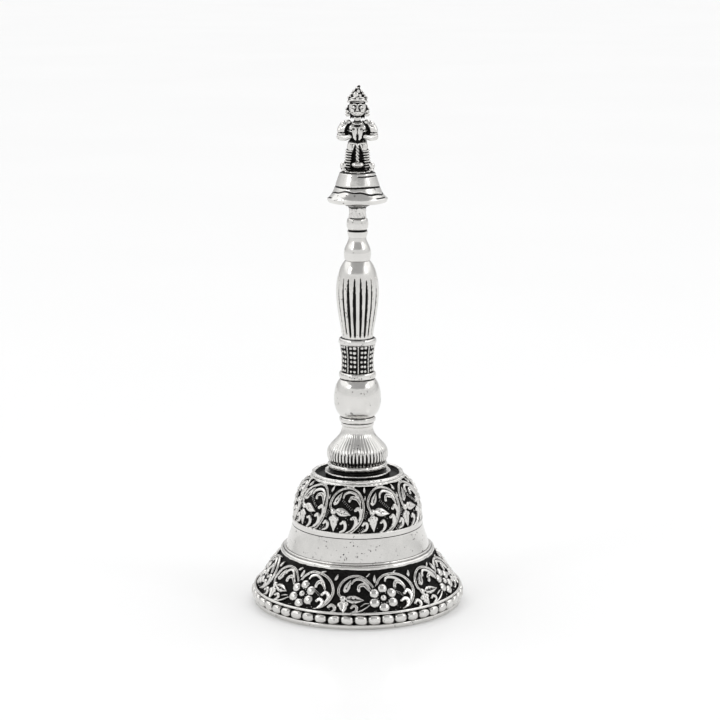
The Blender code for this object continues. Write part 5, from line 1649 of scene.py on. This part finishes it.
class HANDBELL_OT_stage(Operator):
    """Lays the white studio floor, sets the sky with its grey gap, and places the lights and the camera"""

    bl_idname = "handbell.stage"
    bl_label = "Stage"

    def execute(self, context):
        looks = settings()[1]
        scene = context.scene
        side = 12.0
        floor = mesh_piece("studio_floor", [(-side, -side, 0), (side, -side, 0), (side, side, 0), (-side, side, 0)],
                           [(0, 1, 2, 3)], sharp=None)
        finish = Finish("studio floor")
        floor_colour = Vector(looks.floor)
        faint = finish.span(finish.noise(3, 2.0), 0.3, 0.7)
        matt = finish.node("ShaderNodeBsdfDiffuse")
        finish.link(finish.colours(faint, floor_colour * 0.99, floor_colour), matt.inputs["Color"])
        polished = finish.node("ShaderNodeBsdfGlossy")
        polished.inputs["Roughness"].default_value = 0.12
        both = finish.node("ShaderNodeMixShader")
        both.inputs[0].default_value = looks.floor_gloss
        finish.link(matt.outputs[0], both.inputs[1])
        finish.link(polished.outputs[0], both.inputs[2])
        finish.link(both.outputs[0], finish.tree.nodes["Material Output"].inputs["Surface"])
        finish.tree.nodes.remove(finish.shader)
        floor.data.materials.append(finish.material)

        world = bpy.data.worlds.new("studio sky")
        scene.world = world
        world.use_nodes = True
        tree = world.node_tree
        backdrop = tree.nodes["Background"]
        sky = Finish.__new__(Finish)
        sky.tree = tree
        sky.place = sky.node("ShaderNodeTexCoord").outputs["Generated"]
        axes = sky.node("ShaderNodeSeparateXYZ")
        sky.link(sky.place, axes.inputs["Vector"])
        across = sky.maths("ABSOLUTE", axes.outputs["X"], 0.0)
        up = axes.outputs["Z"]
        middle = sky.span(across, 0.56, 0.66, 1, 0)
        ahead = sky.span(axes.outputs["Y"], 0.05, 0.3, 1, 0)
        gap = sky.maths("MULTIPLY", sky.maths("MULTIPLY", middle, ahead), sky.span(up, 0.4, 0.48))
        behind = sky.maths("MULTIPLY", sky.span(axes.outputs["Y"], 0.1, 0.9), sky.span(up, 0.15, 0.6, 1, 0))
        level = sky.maths("ADD", sky.span(up, 0.35, 0.45, -0.42, 0.0), looks.sky_strength)
        level = sky.maths("SUBTRACT", level, sky.maths("MULTIPLY", behind, 0.3))
        level = sky.maths("ADD", level, sky.span(up, 0.7, 0.82, 0, 0.75))
        shaded = sky.node("ShaderNodeMix", data_type="FLOAT")
        sky.link(gap, shaded.inputs["Factor"])
        sky.link(level, shaded.inputs["A"])
        shaded.inputs["B"].default_value = looks.card_strength
        sky.link(shaded.outputs["Result"], backdrop.inputs["Strength"])
        backdrop.inputs["Color"].default_value = (1, 1, 1, 1)

        for name, place, energy, size in (
            ("left softbox", (-0.75, -0.55, 0.75), 0.8, 0.22), ("right softbox", (0.8, -0.35, 0.7), 0.6, 0.18)):
            lamp = bpy.data.lights.new(name, "AREA")
            lamp.shape = "RECTANGLE"
            lamp.size, lamp.size_y = size, size * 1.6
            lamp.energy = energy
            light = bpy.data.objects.new(name, lamp)
            light.location = place
            light.rotation_euler = (Vector((0, 0, 0.07)) - Vector(place)).to_track_quat("-Z", "Y").to_euler()
            scene.collection.objects.link(light)

        lens = bpy.data.cameras.new("camera")
        lens.lens = 106.9
        lens.sensor_width = 36
        lens.clip_start = 0.01
        camera = bpy.data.objects.new("camera", lens)
        camera.location = (0.0008, -0.6635, 0.2108)
        camera.rotation_euler = (math.radians(90 - 11.294), 0, 0)
        scene.collection.objects.link(camera)
        scene.camera = camera
        scene.view_settings.view_transform = "Standard"
        scene.view_settings.look = "None"
        return {"FINISHED"}


PIECES = (
    HANDBELL_OT_cup, HANDBELL_OT_upper_band, HANDBELL_OT_lower_band, HANDBELL_OT_rings, HANDBELL_OT_beads,
    HANDBELL_OT_crown_plates, HANDBELL_OT_foot, HANDBELL_OT_bulb, HANDBELL_OT_sleeve, HANDBELL_OT_baluster,
    HANDBELL_OT_neck, HANDBELL_OT_plinth, HANDBELL_OT_figure, HANDBELL_OT_rod, HANDBELL_OT_nut,
    HANDBELL_OT_clapper, HANDBELL_OT_stage,
)


class HANDBELL_PT_panel(Panel):
    """Lists the sizes, the looks and the operators in the order that they run in"""

    bl_label = "Hand Bell"
    bl_space_type = "VIEW_3D"
    bl_region_type = "UI"
    bl_category = "Hand Bell"

    def draw(self, context):
        column = self.layout.column(align=True)
        for group in (context.scene.hand_bell_sizes, context.scene.hand_bell_looks):
            for name in type(group).__annotations__:
                column.prop(group, name)
        for piece in PIECES:
            column.operator(piece.bl_idname)


CLASSES = (HandBellSizes, HandBellLooks, *PIECES, HANDBELL_PT_panel)


def register():
    for cls in CLASSES:
        bpy.utils.register_class(cls)
    bpy.types.Scene.hand_bell_sizes = PointerProperty(type=HandBellSizes)
    bpy.types.Scene.hand_bell_looks = PointerProperty(type=HandBellLooks)


def unregister():
    del bpy.types.Scene.hand_bell_looks
    del bpy.types.Scene.hand_bell_sizes
    for cls in reversed(CLASSES):
        bpy.utils.unregister_class(cls)


def main():
    register()
    for piece in PIECES:
        group, name = piece.bl_idname.split(".")
        getattr(getattr(bpy.ops, group), name)()


if __name__ == "__main__":
    main()
